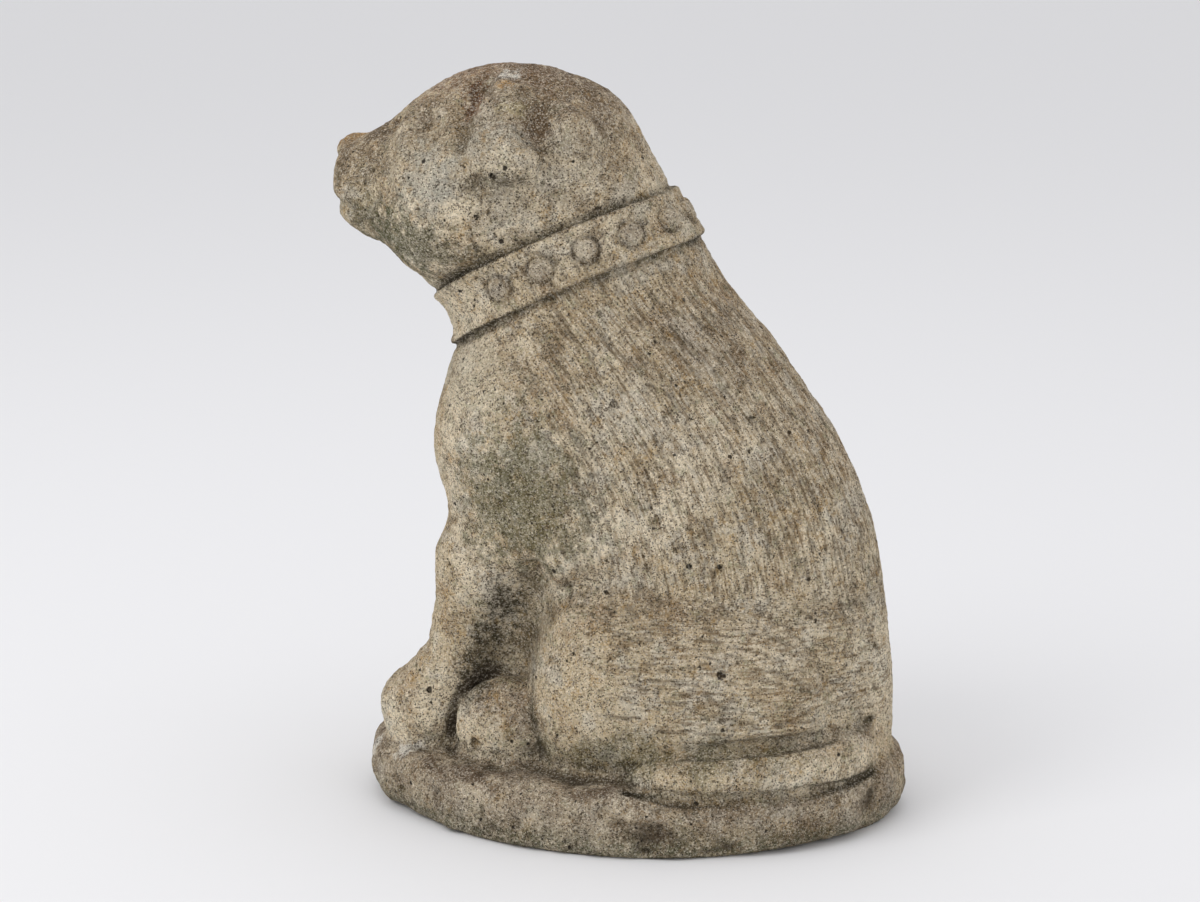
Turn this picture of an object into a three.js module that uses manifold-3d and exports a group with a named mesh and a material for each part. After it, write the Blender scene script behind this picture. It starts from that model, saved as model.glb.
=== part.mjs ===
// A sitting bulldog cast in one piece with an oval base, as a garden statue.
// Millimetres, +Z up, the dog looks along -Y and its left side is +X.
// The origin is the middle of the underside.
import * as THREE from 'three';
import { mergeVertices } from 'three/addons/utils/BufferGeometryUtils.js';
import Module from 'manifold-3d';

// Overall sizes
const figureHeight = 366; // base top to crown of the head
const baseThickness = 34;
const baseHalfLength = 147; // middle to the front or rear rim
const baseHalfWidth = 109;
const baseTopRadius = 11; // worn roll of the upper edge
const baseFootRadius = 6; // lower edge along the sides
const baseFrontTuck = 8; // how much rounder the lower edge is at the front
const baseRearTuck = 10; // and at the rear
const baseWander = 1.6; // how far the hand-struck rim strays from the oval

// Collar
const collarWidth = 28.4;
const collarThickness = 1.6; // at the throat
const collarNapeThickness = 2.8;
const studDiameter = 13;
const studHeight = 2.8;
const studPitch = 25.8;
const studCount = 11; // one on the nape and the rest both ways from it, so the throat stays plain

// Tail, laid round the left haunch
const tailRootRadius = 18.5;
const tailTipRadius = 9;
const tailTaper = 3; // power of the taper: full nearly to the tip, then quickly slimmer

// Ear flap
const earWidth = 31;
const earDrop = 45;
const earThickness = 20;

// Fineness of the surface
const spokesPerSection = 54;
const frontSpokeShare = 0.6; // share of the spokes that fall in the front third
const frontArcDegrees = 118;

// The figure is described in hundredths of its own height, measured from the base top.
const unit = figureHeight / 100;
const baseTop = baseThickness;
const frontArc = frontArcDegrees * Math.PI / 180;

// Where the collar's middle line meets the throat and the nape, as [y, z] in figure units
const collarThroat = [-29, 62];
const collarNape = [8.6, 79.4];
const collarSaddle = 1.4; // rise of the middle line at the sides of the neck

// Trunk sections: height, back, front, half width
const trunkSections = [
  [-10, 37.4, -24, 19.6],
  [8, 38.2, -24.4, 20.2],
  [20, 37.1, -24.6, 19.7],
  [32, 35.2, -25.9, 19.9],
  [40, 32.5, -27.2, 20],
  [47, 29.1, -28.4, 19.4],
  [55, 23.6, -27.8, 18],
  [61, 19.2, -27.1, 16.8],
  [68, 13.1, -29.6, 15.6],
  [76, 8.3, -26, 14.8],
  [84, 2.8, -24, 14.2],
  [92, -5, -22, 12.5],
];

// Tail path in figure units: x, y, z
const tailPath = [
  [0, 32.9, 2.6],
  [10, 31.4, 2.2],
  [17.4, 25.3, 2],
  [22, 16.8, 1.6],
  [23.6, 6.6, 1],
  [23.7, 1, 0.4],
];

// The hollow between foreleg and haunch: its middle line, and its radius at each place
const hollowPath = [
  [17.4, -10.4, 29.6],
  [17.2, -12.6, 25],
  [16.8, -14.6, 20],
  [16.4, -16.4, 15],
  [16, -18.4, 10],
  [15.4, -20.6, 6],
];
const hollowRadii = [0.9, 2.5, 3.7, 4.4, 4.4, 3.6];

// The lower foreleg, from the elbow to the paw
const lowerLegPath = [
  [9, -21.4, 28],
  [9.1, -24.4, 14],
  [9.3, -27.2, 10],
  [9.3, -30.8, 6],
];
const lowerLegRadii = [6.4, 5.1, 5.1, 5.2];

// The crease over the haunch
const haunchCrease = [
  [18.8, -6.6, 25.6],
  [20.4, -1, 27.8],
  [20.9, 6, 27.2],
  [20.7, 18, 26.2],
];
const haunchCreaseRadii = [0.5, 0.9, 0.8, 0.3];

// Where the trunk ends inside the head
const crownHeight = 90;

// Where the ear leaves the skull, and how far its tip lies outward and back from there
const earRoot = [8.2, -18.2, 97.2];
const earSpread = 8.4;
const earSetBack = 1.8;

// Smooth union of two distances; reach is the size of the fillet.
function blend(a, b, reach) {
  const h = Math.max(reach - Math.abs(a - b), 0) / reach;
  return Math.min(a, b) - h * h * reach * 0.25;
}

// Takes b out of a, with a softened edge.
function carve(a, b, reach) {
  return -blend(-a, b, reach);
}

// Distance to an ellipsoid, pitched about the x axis and rolled about the y axis, in degrees.
function ovoid(p, centre, radii, pitch = 0, roll = 0) {
  let x = p[0] - centre[0];
  let y = p[1] - centre[1];
  let z = p[2] - centre[2];
  if (pitch !== 0) {
    const c = Math.cos(pitch * Math.PI / 180);
    const s = Math.sin(pitch * Math.PI / 180);
    [y, z] = [y * c + z * s, z * c - y * s];
  }
  if (roll !== 0) {
    const c = Math.cos(roll * Math.PI / 180);
    const s = Math.sin(roll * Math.PI / 180);
    [x, z] = [x * c + z * s, z * c - x * s];
  }
  const near = Math.hypot(x / radii[0], y / radii[1], z / radii[2]);
  const slope = Math.hypot(x / radii[0] ** 2, y / radii[1] ** 2, z / radii[2] ** 2);
  return near * (near - 1) / Math.max(slope, 1e-9);
}

// Distance to a limb that tapers from one ball to another.
function limb(p, start, end, startRadius, endRadius) {
  const ax = end[0] - start[0];
  const ay = end[1] - start[1];
  const az = end[2] - start[2];
  const px = p[0] - start[0];
  const py = p[1] - start[1];
  const pz = p[2] - start[2];
  const along = (px * ax + py * ay + pz * az) / (ax * ax + ay * ay + az * az);
  const t = Math.min(Math.max(along, 0), 1);
  const gap = Math.hypot(px - t * ax, py - t * ay, pz - t * az);
  return gap - (startRadius + (endRadius - startRadius) * t);
}

// Distance to limbs laid end to end along a path.
function strand(p, path, radii) {
  let d = Infinity;
  for (let i = 0; i + 1 < path.length; i += 1) {
    d = Math.min(d, limb(p, path[i], path[i + 1], radii[i], radii[i + 1]));
  }
  return d;
}

// Distance to a block with rounded edges, pitched about the x axis.
function roundedBlock(p, centre, half, edge, pitch) {
  const c = Math.cos(pitch * Math.PI / 180);
  const s = Math.sin(pitch * Math.PI / 180);
  const y = p[1] - centre[1];
  const z = p[2] - centre[2];
  const dx = Math.abs(p[0] - centre[0]) - half[0] + edge;
  const dy = Math.abs(y * c + z * s) - half[1] + edge;
  const dz = Math.abs(z * c - y * s) - half[2] + edge;
  const outside = Math.hypot(Math.max(dx, 0), Math.max(dy, 0), Math.max(dz, 0));
  return outside + Math.min(Math.max(dx, dy, dz), 0) - edge;
}

// One column of the trunk sections at a height, on a smooth curve through the rows.
function trunkValue(column, height) {
  const rows = trunkSections;
  const last = rows.length - 1;
  let i = 0;
  while (i < last - 1 && height > rows[i + 1][0]) {
    i += 1;
  }
  const slopeAt = (k) => {
    const a = rows[Math.max(k - 1, 0)];
    const b = rows[Math.min(k + 1, last)];
    return (b[column] - a[column]) / (b[0] - a[0]);
  };
  const span = rows[i + 1][0] - rows[i][0];
  const t = Math.min(Math.max((height - rows[i][0]) / span, 0), 1);
  const rise = t * t * (3 - 2 * t);
  const startBend = t * (1 - t) * (1 - t) * span * slopeAt(i);
  const endBend = t * t * (t - 1) * span * slopeAt(i + 1);
  return rows[i][column] * (1 - rise) + rows[i + 1][column] * rise + startBend + endBend;
}

// The trunk and neck: oval sections stacked from the base to the nape.
function trunk(p) {
  const back = trunkValue(1, p[2]);
  const front = trunkValue(2, p[2]);
  const halfWidth = trunkValue(3, p[2]);
  const y = p[1] - (back + front) / 2;
  const depth = (back - front) / 2;
  const near = Math.hypot(p[0] / halfWidth, y / depth);
  const slope = Math.hypot(p[0] / halfWidth ** 2, y / depth ** 2);
  const side = near * (near - 1) / Math.max(slope, 1e-9) * 0.92;
  return carve(side, crownHeight - p[2], 8);
}

// Skull, cheeks, jaw, muzzle, brows, nose and chin.
function head(p) {
  const m = [Math.abs(p[0]), p[1], p[2]];
  let d = ovoid(p, [0, -18.6, 82.3], [17.2, 19.6, 17.3]);
  d = blend(d, ovoid(p, [0, -10.6, 85.2], [12.6, 10.6, 11.4]), 3);
  d = blend(d, ovoid(m, [8.9, -24.6, 79.6], [9.8, 11, 10.5]), 4);
  d = blend(d, ovoid(p, [0, -25, 77.4], [12.5, 15, 9], -32), 4);
  d = blend(d, roundedBlock(p, [0, -36.2, 82.2], [9.4, 8.2, 6.6], 5.2, 5), 6);
  d = blend(d, ovoid(m, [6, -28.6, 88.8], [6, 5.2, 4.8]), 3);
  d = blend(d, limb(m, [9.6, -31.2, 91.2], [16, -30.8, 82.6], 0.9, 0.9), 2);
  d = carve(d, ovoid(m, [11.6, -31.2, 91.4], [2.3, 2.6, 1.7]), 2.6);
  d = blend(d, ovoid(p, [0, -42.2, 86.3], [4.4, 2.8, 2.4]), 1);
  d = blend(d, ovoid(m, [5.2, -38.6, 81], [5.2, 5, 4.2]), 1.6);
  return blend(d, ovoid(p, [0, -37.2, 77.2], [6.6, 5.8, 4]), 1);
}

// The foreleg with its breast.
function foreleg(m) {
  const breast = ovoid(m, [5.6, -20, 43.6], [7, 8.8, 9.5]);
  const upper = limb(m, [10.5, -12.6, 42], [9.4, -18.8, 29], 8.8, 6.7);
  const lower = strand(m, lowerLegPath, lowerLegRadii);
  return blend(breast, blend(upper, lower, 5), 6);
}

// The haunch and its rounded front.
function haunch(m) {
  const rear = ovoid(m, [13.6, 9.2, 9.5], [10.4, 21.4, 18.4]);
  const front = ovoid(m, [13.9, -0.6, 12], [10.5, 12.1, 18.2], -12);
  return blend(rear, front, 1.8);
}

// Trunk with shoulders, legs, haunches and paws, the same on both sides.
function body(p) {
  const m = [Math.abs(p[0]), p[1], p[2]];
  let d = blend(trunk(p), ovoid(m, [10.2, -13.5, 47.5], [10.6, 13, 13.4], -12), 7);
  d = blend(d, ovoid(m, [16.5, -7.2, 32.8], [3, 4.8, 4]), 6);
  d = carve(d, strand(m, hollowPath, hollowRadii), 3.4);
  d = blend(d, foreleg(m), 2.8);
  d = carve(d, strand(m, haunchCrease, haunchCreaseRadii), 2.8);
  d = blend(d, haunch(m), 1.3);
  d = blend(d, ovoid(m, [9.3, -29, 3.9], [5.6, 7.8, 6.3], -8), 2.6);
  return blend(d, ovoid(m, [14, -16.2, 4], [5.6, 8, 7.6]), 1.2);
}

function figure(p) {
  return blend(body(p), head(p), 4);
}

// The rim wanders a little from a true oval, as a hand-struck mould does.
function rimWander(angle) {
  return 0.5 * Math.sin(3 * angle + 0.6) + 0.32 * Math.sin(5 * angle + 2.1) + 0.18 * Math.sin(9 * angle);
}

// Rises smoothly from 0 at low to 1 at high.
function ease(value, low, high) {
  return THREE.MathUtils.smoothstep(value, low, high);
}

// The oval base with its worn upper edge, and a foot that tucks in at both ends.
function base(p) {
  const wide = baseHalfWidth / unit;
  const long = baseHalfLength / unit;
  const thick = baseThickness / unit;
  const near = Math.hypot(p[0] / wide, p[1] / long);
  const slope = Math.hypot(p[0] / wide ** 2, p[1] / long ** 2);
  const stray = baseWander / unit * rimWander(Math.atan2(p[1], p[0]));
  const side = near * (near - 1) / Math.max(slope, 1e-9) - stray;
  const end = p[1] / long;
  const tuck = baseFrontTuck * ease(-end, 0.4, 0.85) + baseRearTuck * ease(end, 0.3, 0.8);
  const edge = (p[2] > -thick / 2 ? baseTopRadius : baseFootRadius + tuck) / unit;
  const level = Math.abs(p[2] + thick / 2) - thick / 2;
  const a = side + edge;
  const b = level + edge;
  return Math.min(Math.max(a, b), 0) + Math.hypot(Math.max(a, 0), Math.max(b, 0)) - edge;
}

function statueForm(p) {
  return blend(figure(p), base(p), 2.4);
}

// Walks a ray in figure units until the form's surface is met, inward from outside or the other way.
function meet(form, centre, direction, inward, reach) {
  const at = (t) => form([
    centre[0] + direction[0] * t,
    centre[1] + direction[1] * t,
    centre[2] + direction[2] * t,
  ]);
  let t = inward ? reach : 0;
  for (let i = 0; i < 400; i += 1) {
    const gap = at(t);
    if (inward ? gap < 0.01 : gap > -0.01) {
      break;
    }
    t += inward ? -Math.max(Math.abs(gap) * 0.7, 0.02) : Math.max(Math.abs(gap) * 0.7, 0.02);
    if (t < 0 || t > reach) {
      break;
    }
  }
  return Math.min(Math.max(t, 0), reach);
}

// Spoke angles, zero to the front, closer together where legs and muzzle need it.
function spokeAngles() {
  const angles = [];
  const frontCount = Math.round(spokesPerSection * frontSpokeShare / 2) * 2;
  const rearCount = spokesPerSection - frontCount;
  for (let i = 0; i < frontCount; i += 1) {
    const share = 2 * i / frontCount - 1;
    angles.push(frontArc / 2 * share * (0.74 + 0.26 * Math.abs(share)));
  }
  for (let i = 0; i < rearCount; i += 1) {
    angles.push(frontArc / 2 + (2 * Math.PI - frontArc) * i / rearCount);
  }
  return angles;
}

// One closed section through the form. Tilt 0 is level; tilt 90 stands upright across the muzzle.
function sectionRing(form, centreY, centreZ, tilt, inward) {
  const c = Math.cos(tilt * Math.PI / 180);
  const s = Math.sin(tilt * Math.PI / 180);
  return spokeAngles().map((angle) => {
    const direction = [Math.sin(angle), -Math.cos(angle) * c, -Math.cos(angle) * s];
    const t = meet(form, [0, centreY, centreZ], direction, inward, 60);
    return [direction[0] * t, centreY + direction[1] * t, centreZ + direction[2] * t];
  });
}

// Heights of the level sections through the base and the lower body, in figure units.
function levelHeights() {
  const thick = baseThickness / unit;
  const foot = Math.min(baseFootRadius + Math.max(baseFrontTuck, baseRearTuck), baseThickness / 2) / unit;
  const roll = baseTopRadius / unit;
  const heights = [-thick + 0.001];
  for (const turn of [22, 40, 62, 88]) {
    heights.push(-thick + foot * (1 - Math.cos(turn * Math.PI / 180)));
  }
  for (const turn of [8, 30, 50, 66, 79]) {
    heights.push(-roll + roll * Math.sin(turn * Math.PI / 180));
  }
  const steps = [[0.12, 1], [0.9, 9], [10.2, 7], [26.2, 7]];
  const ends = [0.9, 10.2, 26.2, 50];
  steps.forEach(([from, count], k) => {
    for (let i = 0; i < count; i += 1) {
      heights.push(from + (ends[k] - from) * i / count);
    }
  });
  heights.push(50);
  return heights;
}

// Every section from the underside to the nose: level, then fanned about the throat, then upright.
function bodySections() {
  const rings = levelHeights().map((height) => {
    const centreY = THREE.MathUtils.lerp(2, -1, THREE.MathUtils.smoothstep(height, 10, 50));
    return sectionRing(statueForm, centreY, height, 0, true);
  });
  const collarRise = collarNape[1] - collarThroat[1];
  const collarTilt = Math.atan2(collarRise, collarNape[0] - collarThroat[0]) * 180 / Math.PI;
  const fanRing = (pivot, radius, tilt, inward) => {
    const turn = tilt * Math.PI / 180;
    const y = pivot[0] + radius * Math.cos(turn);
    const z = pivot[1] + radius * Math.sin(turn);
    return sectionRing(figure, y, z, tilt, inward);
  };
  for (let i = 1; i < 6; i += 1) {
    rings.push(fanRing([-58, 50], 55 - i * 0.4, collarTilt * i / 6, true));
  }
  const throat = [-36, 58.5];
  const fanCount = 15;
  for (let i = 0; i <= fanCount; i += 1) {
    const tilt = THREE.MathUtils.lerp(collarTilt, 90, i / fanCount);
    rings.push(fanRing(throat, THREE.MathUtils.lerp(28.5, 24, i / fanCount), tilt, false));
  }
  for (const y of [-38, -40, -41.8, -43.2, -44.2, -44.8]) {
    rings.push(sectionRing(figure, y, 82, 90, false));
  }
  return rings;
}

// Builds a closed skin over a run of rings, in millimetres, with a point at either end.
function skin(rings, startPoint, endPoint) {
  const positions = [];
  const indices = [];
  const count = rings[0].length;
  const put = (p) => positions.push(p[0] * unit, p[1] * unit, baseTop + p[2] * unit);
  rings.forEach((ring) => ring.forEach(put));
  const start = positions.length / 3;
  put(startPoint);
  put(endPoint);
  const gap = (a, b) => Math.hypot(a[0] - b[0], a[1] - b[1], a[2] - b[2]);
  for (let r = 0; r + 1 < rings.length; r += 1) {
    for (let i = 0; i < count; i += 1) {
      const j = (i + 1) % count;
      const a = r * count + i;
      const b = r * count + j;
      const c = a + count;
      const d = b + count;
      if (gap(rings[r][i], rings[r + 1][j]) < gap(rings[r][j], rings[r + 1][i])) {
        indices.push(a, b, d, a, d, c);
      } else {
        indices.push(a, b, c, b, d, c);
      }
    }
  }
  const top = (rings.length - 1) * count;
  for (let i = 0; i < count; i += 1) {
    const j = (i + 1) % count;
    indices.push(start, j, i);
    indices.push(start + 1, top + i, top + j);
  }
  return { positions, indices };
}

// The collar's middle line, its two directions across the neck, and the up direction of the band.
function collarFrame() {
  const dy = collarNape[0] - collarThroat[0];
  const dz = collarNape[1] - collarThroat[1];
  const length = Math.hypot(dy, dz);
  return {
    centre: [0, (collarThroat[0] + collarNape[0]) / 2, (collarThroat[1] + collarNape[1]) / 2],
    forward: [0, -dy / length, -dz / length],
    up: [0, -dz / length, dy / length],
  };
}

// A point on the neck under the band: angle round the neck, height across the band, lift off the skin.
function collarPoint(angle, across, lift) {
  const frame = collarFrame();
  const direction = frame.forward.map((v, k) => v * Math.cos(angle) + (k === 0 ? Math.sin(angle) : 0));
  const rough = frame.centre.map((v, k) => v + frame.up[k] * across);
  const first = meet(figure, rough, direction, false, 40);
  const rise = across + collarSaddle * Math.min(Math.abs(direction[0] * first) / 16, 1.2) ** 2;
  const centre = frame.centre.map((v, k) => v + frame.up[k] * rise);
  const t = meet(figure, centre, direction, false, 40) + lift;
  return centre.map((v, k) => v + direction[k] * t);
}

// How far the band stands off the neck at an angle: thin at the throat, thicker at the nape.
function bandLift(angle) {
  const share = ease(-Math.cos(angle), -0.2, 1);
  return THREE.MathUtils.lerp(collarThickness, collarNapeThickness, share) / unit;
}

// The band's section, from its lower edge round to its upper edge: height across, lift off the skin.
function bandOutline(angle) {
  const half = collarWidth / 2 / unit;
  const proud = bandLift(angle);
  const lip = Math.min(proud * 0.5, half * 0.4);
  const buried = -1.6;
  return [
    [-half, buried],
    [-half, proud - lip],
    [-half + lip, proud],
    [half - lip, proud],
    [half, proud - lip],
    [half, buried],
  ];
}

function collarBand() {
  const steps = 48;
  const positions = [];
  const indices = [];
  for (let i = 0; i < steps; i += 1) {
    const angle = 2 * Math.PI * i / steps;
    for (const [across, lift] of bandOutline(angle)) {
      const p = collarPoint(angle, across, lift);
      positions.push(p[0] * unit, p[1] * unit, baseTop + p[2] * unit);
    }
  }
  const size = bandOutline(0).length;
  for (let i = 0; i < steps; i += 1) {
    const next = (i + 1) % steps;
    for (let k = 0; k < size; k += 1) {
      const a = i * size + k;
      const b = i * size + (k + 1) % size;
      const c = next * size + k;
      const d = next * size + (k + 1) % size;
      indices.push(a, c, b, b, c, d);
    }
  }
  return { positions, indices };
}

// Angles round the neck at which the studs stand, one pitch apart and centred on the nape.
function studAngles() {
  const steps = 240;
  const points = [];
  for (let i = 0; i <= steps; i += 1) {
    points.push(collarPoint(2 * Math.PI * i / steps, 0, 0));
  }
  const runs = [0];
  for (let i = 0; i < steps; i += 1) {
    const a = points[i];
    const b = points[i + 1];
    runs.push(runs[i] + Math.hypot(a[0] - b[0], a[1] - b[1], a[2] - b[2]));
  }
  const angles = [];
  for (let s = 0; s < studCount; s += 1) {
    const wanted = runs[steps] / 2 + (s - (studCount - 1) / 2) * studPitch / unit;
    const i = runs.findIndex((run) => run > wanted) - 1;
    const share = (wanted - runs[i]) / (runs[i + 1] - runs[i]);
    angles.push(2 * Math.PI * (i + share) / steps);
  }
  return angles;
}

// One domed stud seated on the band's straight face, as a low cap closed below the surface.
function stud(angle) {
  const facets = 8;
  const radius = Math.min(studDiameter, collarWidth * 0.8) / 2 / unit;
  const high = studHeight / unit;
  const reach = collarWidth * 0.44 / unit;
  const face = (turn, across) => new THREE.Vector3(...collarPoint(turn, across, bandLift(turn)));
  const seat = face(angle, -reach).lerp(face(angle, reach), 0.5);
  const ahead = face(angle + 0.03, -reach).lerp(face(angle + 0.03, reach), 0.5).sub(seat).normalize();
  const above = face(angle, reach).sub(face(angle, -reach)).normalize();
  const out = new THREE.Vector3().crossVectors(above, ahead).normalize();
  if (out.dot(new THREE.Vector3(Math.sin(angle), -Math.cos(angle), 0)) < 0) {
    out.negate();
  }
  const side = new THREE.Vector3().crossVectors(above, out).normalize();
  const ring = (share, lift) => {
    const points = [];
    for (let i = 0; i < facets; i += 1) {
      const turn = 2 * Math.PI * i / facets;
      points.push(seat.clone()
        .addScaledVector(side, Math.cos(turn) * radius * share)
        .addScaledVector(above, Math.sin(turn) * radius * share)
        .addScaledVector(out, lift).toArray());
    }
    return points;
  };
  const foot = seat.clone().addScaledVector(out, -0.7).toArray();
  const crown = seat.clone().addScaledVector(out, high).toArray();
  return skin([ring(1, -0.7), ring(1, high * 0.25), ring(0.62, high * 0.86)], foot, crown);
}

// A tube whose round section follows a path, closed by rounded ends.
function tube(path, radii, facets, flat) {
  const curve = new THREE.CatmullRomCurve3(path.map((p) => new THREE.Vector3(...p)));
  const rings = [];
  const steps = 16;
  for (let i = 0; i <= steps; i += 1) {
    const t = i / steps;
    const cap = Math.min(Math.sqrt(Math.max(1 - (1 - Math.min(t, 1 - t) / 0.12) ** 2, 0)) + 0.18, 1);
    const swell = Math.min(t, 1 - t) < 0.12 ? cap : 1;
    const radius = THREE.MathUtils.lerp(radii[0], radii[1], t ** tailTaper) * Math.min(swell, 1);
    const centre = curve.getPointAt(t);
    const along = curve.getTangentAt(t);
    const side = new THREE.Vector3().crossVectors(along, new THREE.Vector3(0, 0, 1)).normalize();
    const up = new THREE.Vector3().crossVectors(side, along).normalize();
    const points = [];
    for (let k = 0; k < facets; k += 1) {
      const turn = 2 * Math.PI * k / facets;
      points.push(centre.clone()
        .addScaledVector(side, Math.sin(turn) * radius * flat)
        .addScaledVector(up, -Math.cos(turn) * radius).toArray());
    }
    rings.push(points);
  }
  return skin(rings, path[0], path[path.length - 1]);
}

function tail() {
  const radii = [tailRootRadius / unit, tailTipRadius / unit];
  return tube(tailPath, radii, 12, 0.92);
}

// An ear flap: it leaves the corner of the skull and drops to a thick rounded tip.
function ear(side) {
  const drop = earDrop / unit;
  const broad = earWidth / 2 / unit;
  const thick = earThickness / 2 / unit;
  const steps = 10;
  const facets = 14;
  const rings = [];
  for (let i = 0; i <= steps; i += 1) {
    const t = i / steps;
    const widthEnd = Math.sqrt(Math.max(1 - Math.max(t - 0.66, 0) ** 2 / 0.118, 0.02));
    const depthEnd = Math.sqrt(Math.max(1 - Math.max(t - 0.6, 0) ** 2 / 0.165, 0.02));
    const width = broad * (0.6 + 0.56 * t) * widthEnd;
    const depth = thick * (0.7 + 0.25 * t) * depthEnd;
    const centre = [
      earRoot[0] + earSpread * Math.sin(Math.min(t * 1.25, 1) * Math.PI / 2),
      earRoot[1] + earSetBack * t,
      earRoot[2] - drop * (t * 0.72 + 0.28 * t * t),
    ];
    const points = [];
    for (let k = 0; k < facets; k += 1) {
      const turn = 2 * Math.PI * k / facets;
      points.push([
        side * (centre[0] + Math.cos(turn) * depth),
        centre[1] + Math.sin(turn) * width,
        centre[2],
      ]);
    }
    rings.push(points);
  }
  const first = [side * earRoot[0], earRoot[1], earRoot[2] + 0.1];
  const last = [side * (earRoot[0] + earSpread), earRoot[1] + earSetBack, earRoot[2] - 0.1 - drop];
  return skin(rings, first, last);
}

const wasm = await Module();
wasm.setup();

// Turns a skin into a closed body with its faces outward.
function closedBody({ positions, indices }) {
  let volume = 0;
  for (let i = 0; i < indices.length; i += 3) {
    const [a, b, c] = [0, 1, 2].map((k) => new THREE.Vector3().fromArray(positions, indices[i + k] * 3));
    volume += a.dot(b.cross(c));
  }
  const triVerts = Uint32Array.from(indices);
  if (volume < 0) {
    for (let i = 0; i < triVerts.length; i += 3) {
      [triVerts[i + 1], triVerts[i + 2]] = [triVerts[i + 2], triVerts[i + 1]];
    }
  }
  const mesh = new wasm.Mesh({ numProp: 3, vertProperties: Float32Array.from(positions), triVerts });
  return new wasm.Manifold(mesh);
}

// Joins every form into the one cast body.
function statueBody() {
  let body = closedBody(skin(bodySections(), [0, 2, -baseThickness / unit], [0, -45.1, 82]));
  const parts = [collarBand(), tail(), ear(1), ear(-1), ...studAngles().map(stud)];
  for (const part of parts) {
    body = body.add(closedBody(part));
  }
  return body;
}

// The joined body as geometry for display.
function geometryOf(body) {
  const mesh = body.getMesh();
  const geometry = new THREE.BufferGeometry();
  geometry.setAttribute('position', new THREE.BufferAttribute(Float32Array.from(mesh.vertProperties), 3));
  geometry.setIndex(new THREE.BufferAttribute(Uint32Array.from(mesh.triVerts), 1));
  const merged = mergeVertices(geometry, 1e-4);
  merged.computeVertexNormals();
  return merged;
}

const weatheredStone = new THREE.MeshStandardMaterial({ color: 0xa39a86, roughness: 0.95, metalness: 0 });
weatheredStone.name = 'weathered_stone';

const statue = new THREE.Mesh(geometryOf(statueBody()), weatheredStone);
statue.name = 'bulldog_statue';

const root = new THREE.Group();
root.name = 'root';
root.add(statue);

export default root;
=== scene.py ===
"""Garden statue of a seated bulldog on an oval base, cast in one piece and long weathered out of doors."""

import logging
import math
from collections.abc import Callable
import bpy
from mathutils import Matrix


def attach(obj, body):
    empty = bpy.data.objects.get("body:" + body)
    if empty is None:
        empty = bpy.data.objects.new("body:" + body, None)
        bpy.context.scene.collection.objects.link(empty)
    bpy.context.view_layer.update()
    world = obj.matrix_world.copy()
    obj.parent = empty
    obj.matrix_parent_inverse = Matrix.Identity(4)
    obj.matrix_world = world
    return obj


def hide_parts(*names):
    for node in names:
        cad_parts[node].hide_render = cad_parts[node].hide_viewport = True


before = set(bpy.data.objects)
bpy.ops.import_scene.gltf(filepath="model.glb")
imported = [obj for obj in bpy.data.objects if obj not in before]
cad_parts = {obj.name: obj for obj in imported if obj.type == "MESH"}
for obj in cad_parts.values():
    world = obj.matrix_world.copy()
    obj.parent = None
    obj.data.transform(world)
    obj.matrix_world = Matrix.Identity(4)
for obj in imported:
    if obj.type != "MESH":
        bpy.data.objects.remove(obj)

from concurrent.futures import ThreadPoolExecutor
from dataclasses import dataclass, field
from enum import Enum
from functools import cache

import bpy
import numpy as np
from mathutils import Vector

log = logging.getLogger("statue")

NODE = "bulldog_statue"
MILLIMETRE = 0.001

Points = np.ndarray
Values = np.ndarray
Place = tuple[float, float, float]
Colour = tuple[float, float, float, float]
Feed = float | tuple | str | bpy.types.NodeSocket


# Forms, as fields of signed distances. A set of points is three rows: across, along and up.


def blend(a: Values, b: Values, reach: float) -> Values:
    """Joins two forms with a fillet.

    Args:
        a: Distances to the first form.
        b: Distances to the second form.
        reach: Size of the fillet.

    Returns:
        Distances to the joined form.
    """
    overlap = np.maximum(reach - np.abs(a - b), 0.0) / reach
    return np.minimum(a, b) - overlap * overlap * (reach * 0.25)


def carve(a: Values, b: Values, reach: float) -> Values:
    """Cuts a form out of another, with a softened edge.

    Args:
        a: Distances to the form that is kept.
        b: Distances to the form that is cut away.
        reach: Softness of the cut's edge.

    Returns:
        Distances to what is left.
    """
    return -blend(-a, b, reach)


def ease(value: Values, low: float, high: float) -> Values:
    """Rises smoothly from 0 at low to 1 at high."""
    t = np.clip((value - low) / (high - low), 0.0, 1.0)
    return t * t * (3.0 - 2.0 * t)


def ovoid(
    p: Points, centre: Place, radii: Place, pitch: float = 0.0, roll: float = 0.0, yaw: float = 0.0
) -> Values:
    """Distance to an ellipsoid.

    Args:
        p: Points, as three rows.
        centre: Middle of the ellipsoid.
        radii: Half sizes along its own axes.
        pitch: Turn about the axis across, in degrees.
        roll: Turn about the axis along, in degrees.
        yaw: Turn about the upright axis, in degrees.

    Returns:
        Signed distances, negative inside.
    """
    x, y, z = p[0] - centre[0], p[1] - centre[1], p[2] - centre[2]
    if yaw:
        c, s = math.cos(math.radians(yaw)), math.sin(math.radians(yaw))
        x, y = x * c + y * s, y * c - x * s
    if pitch:
        c, s = math.cos(math.radians(pitch)), math.sin(math.radians(pitch))
        y, z = y * c + z * s, z * c - y * s
    if roll:
        c, s = math.cos(math.radians(roll)), math.sin(math.radians(roll))
        x, z = x * c + z * s, z * c - x * s
    x, y, z = x / radii[0], y / radii[1], z / radii[2]
    near = np.sqrt(x * x + y * y + z * z)
    slope = np.sqrt((x / radii[0]) ** 2 + (y / radii[1]) ** 2 + (z / radii[2]) ** 2)
    return near * (near - 1.0) / np.maximum(slope, 1e-6)


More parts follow.
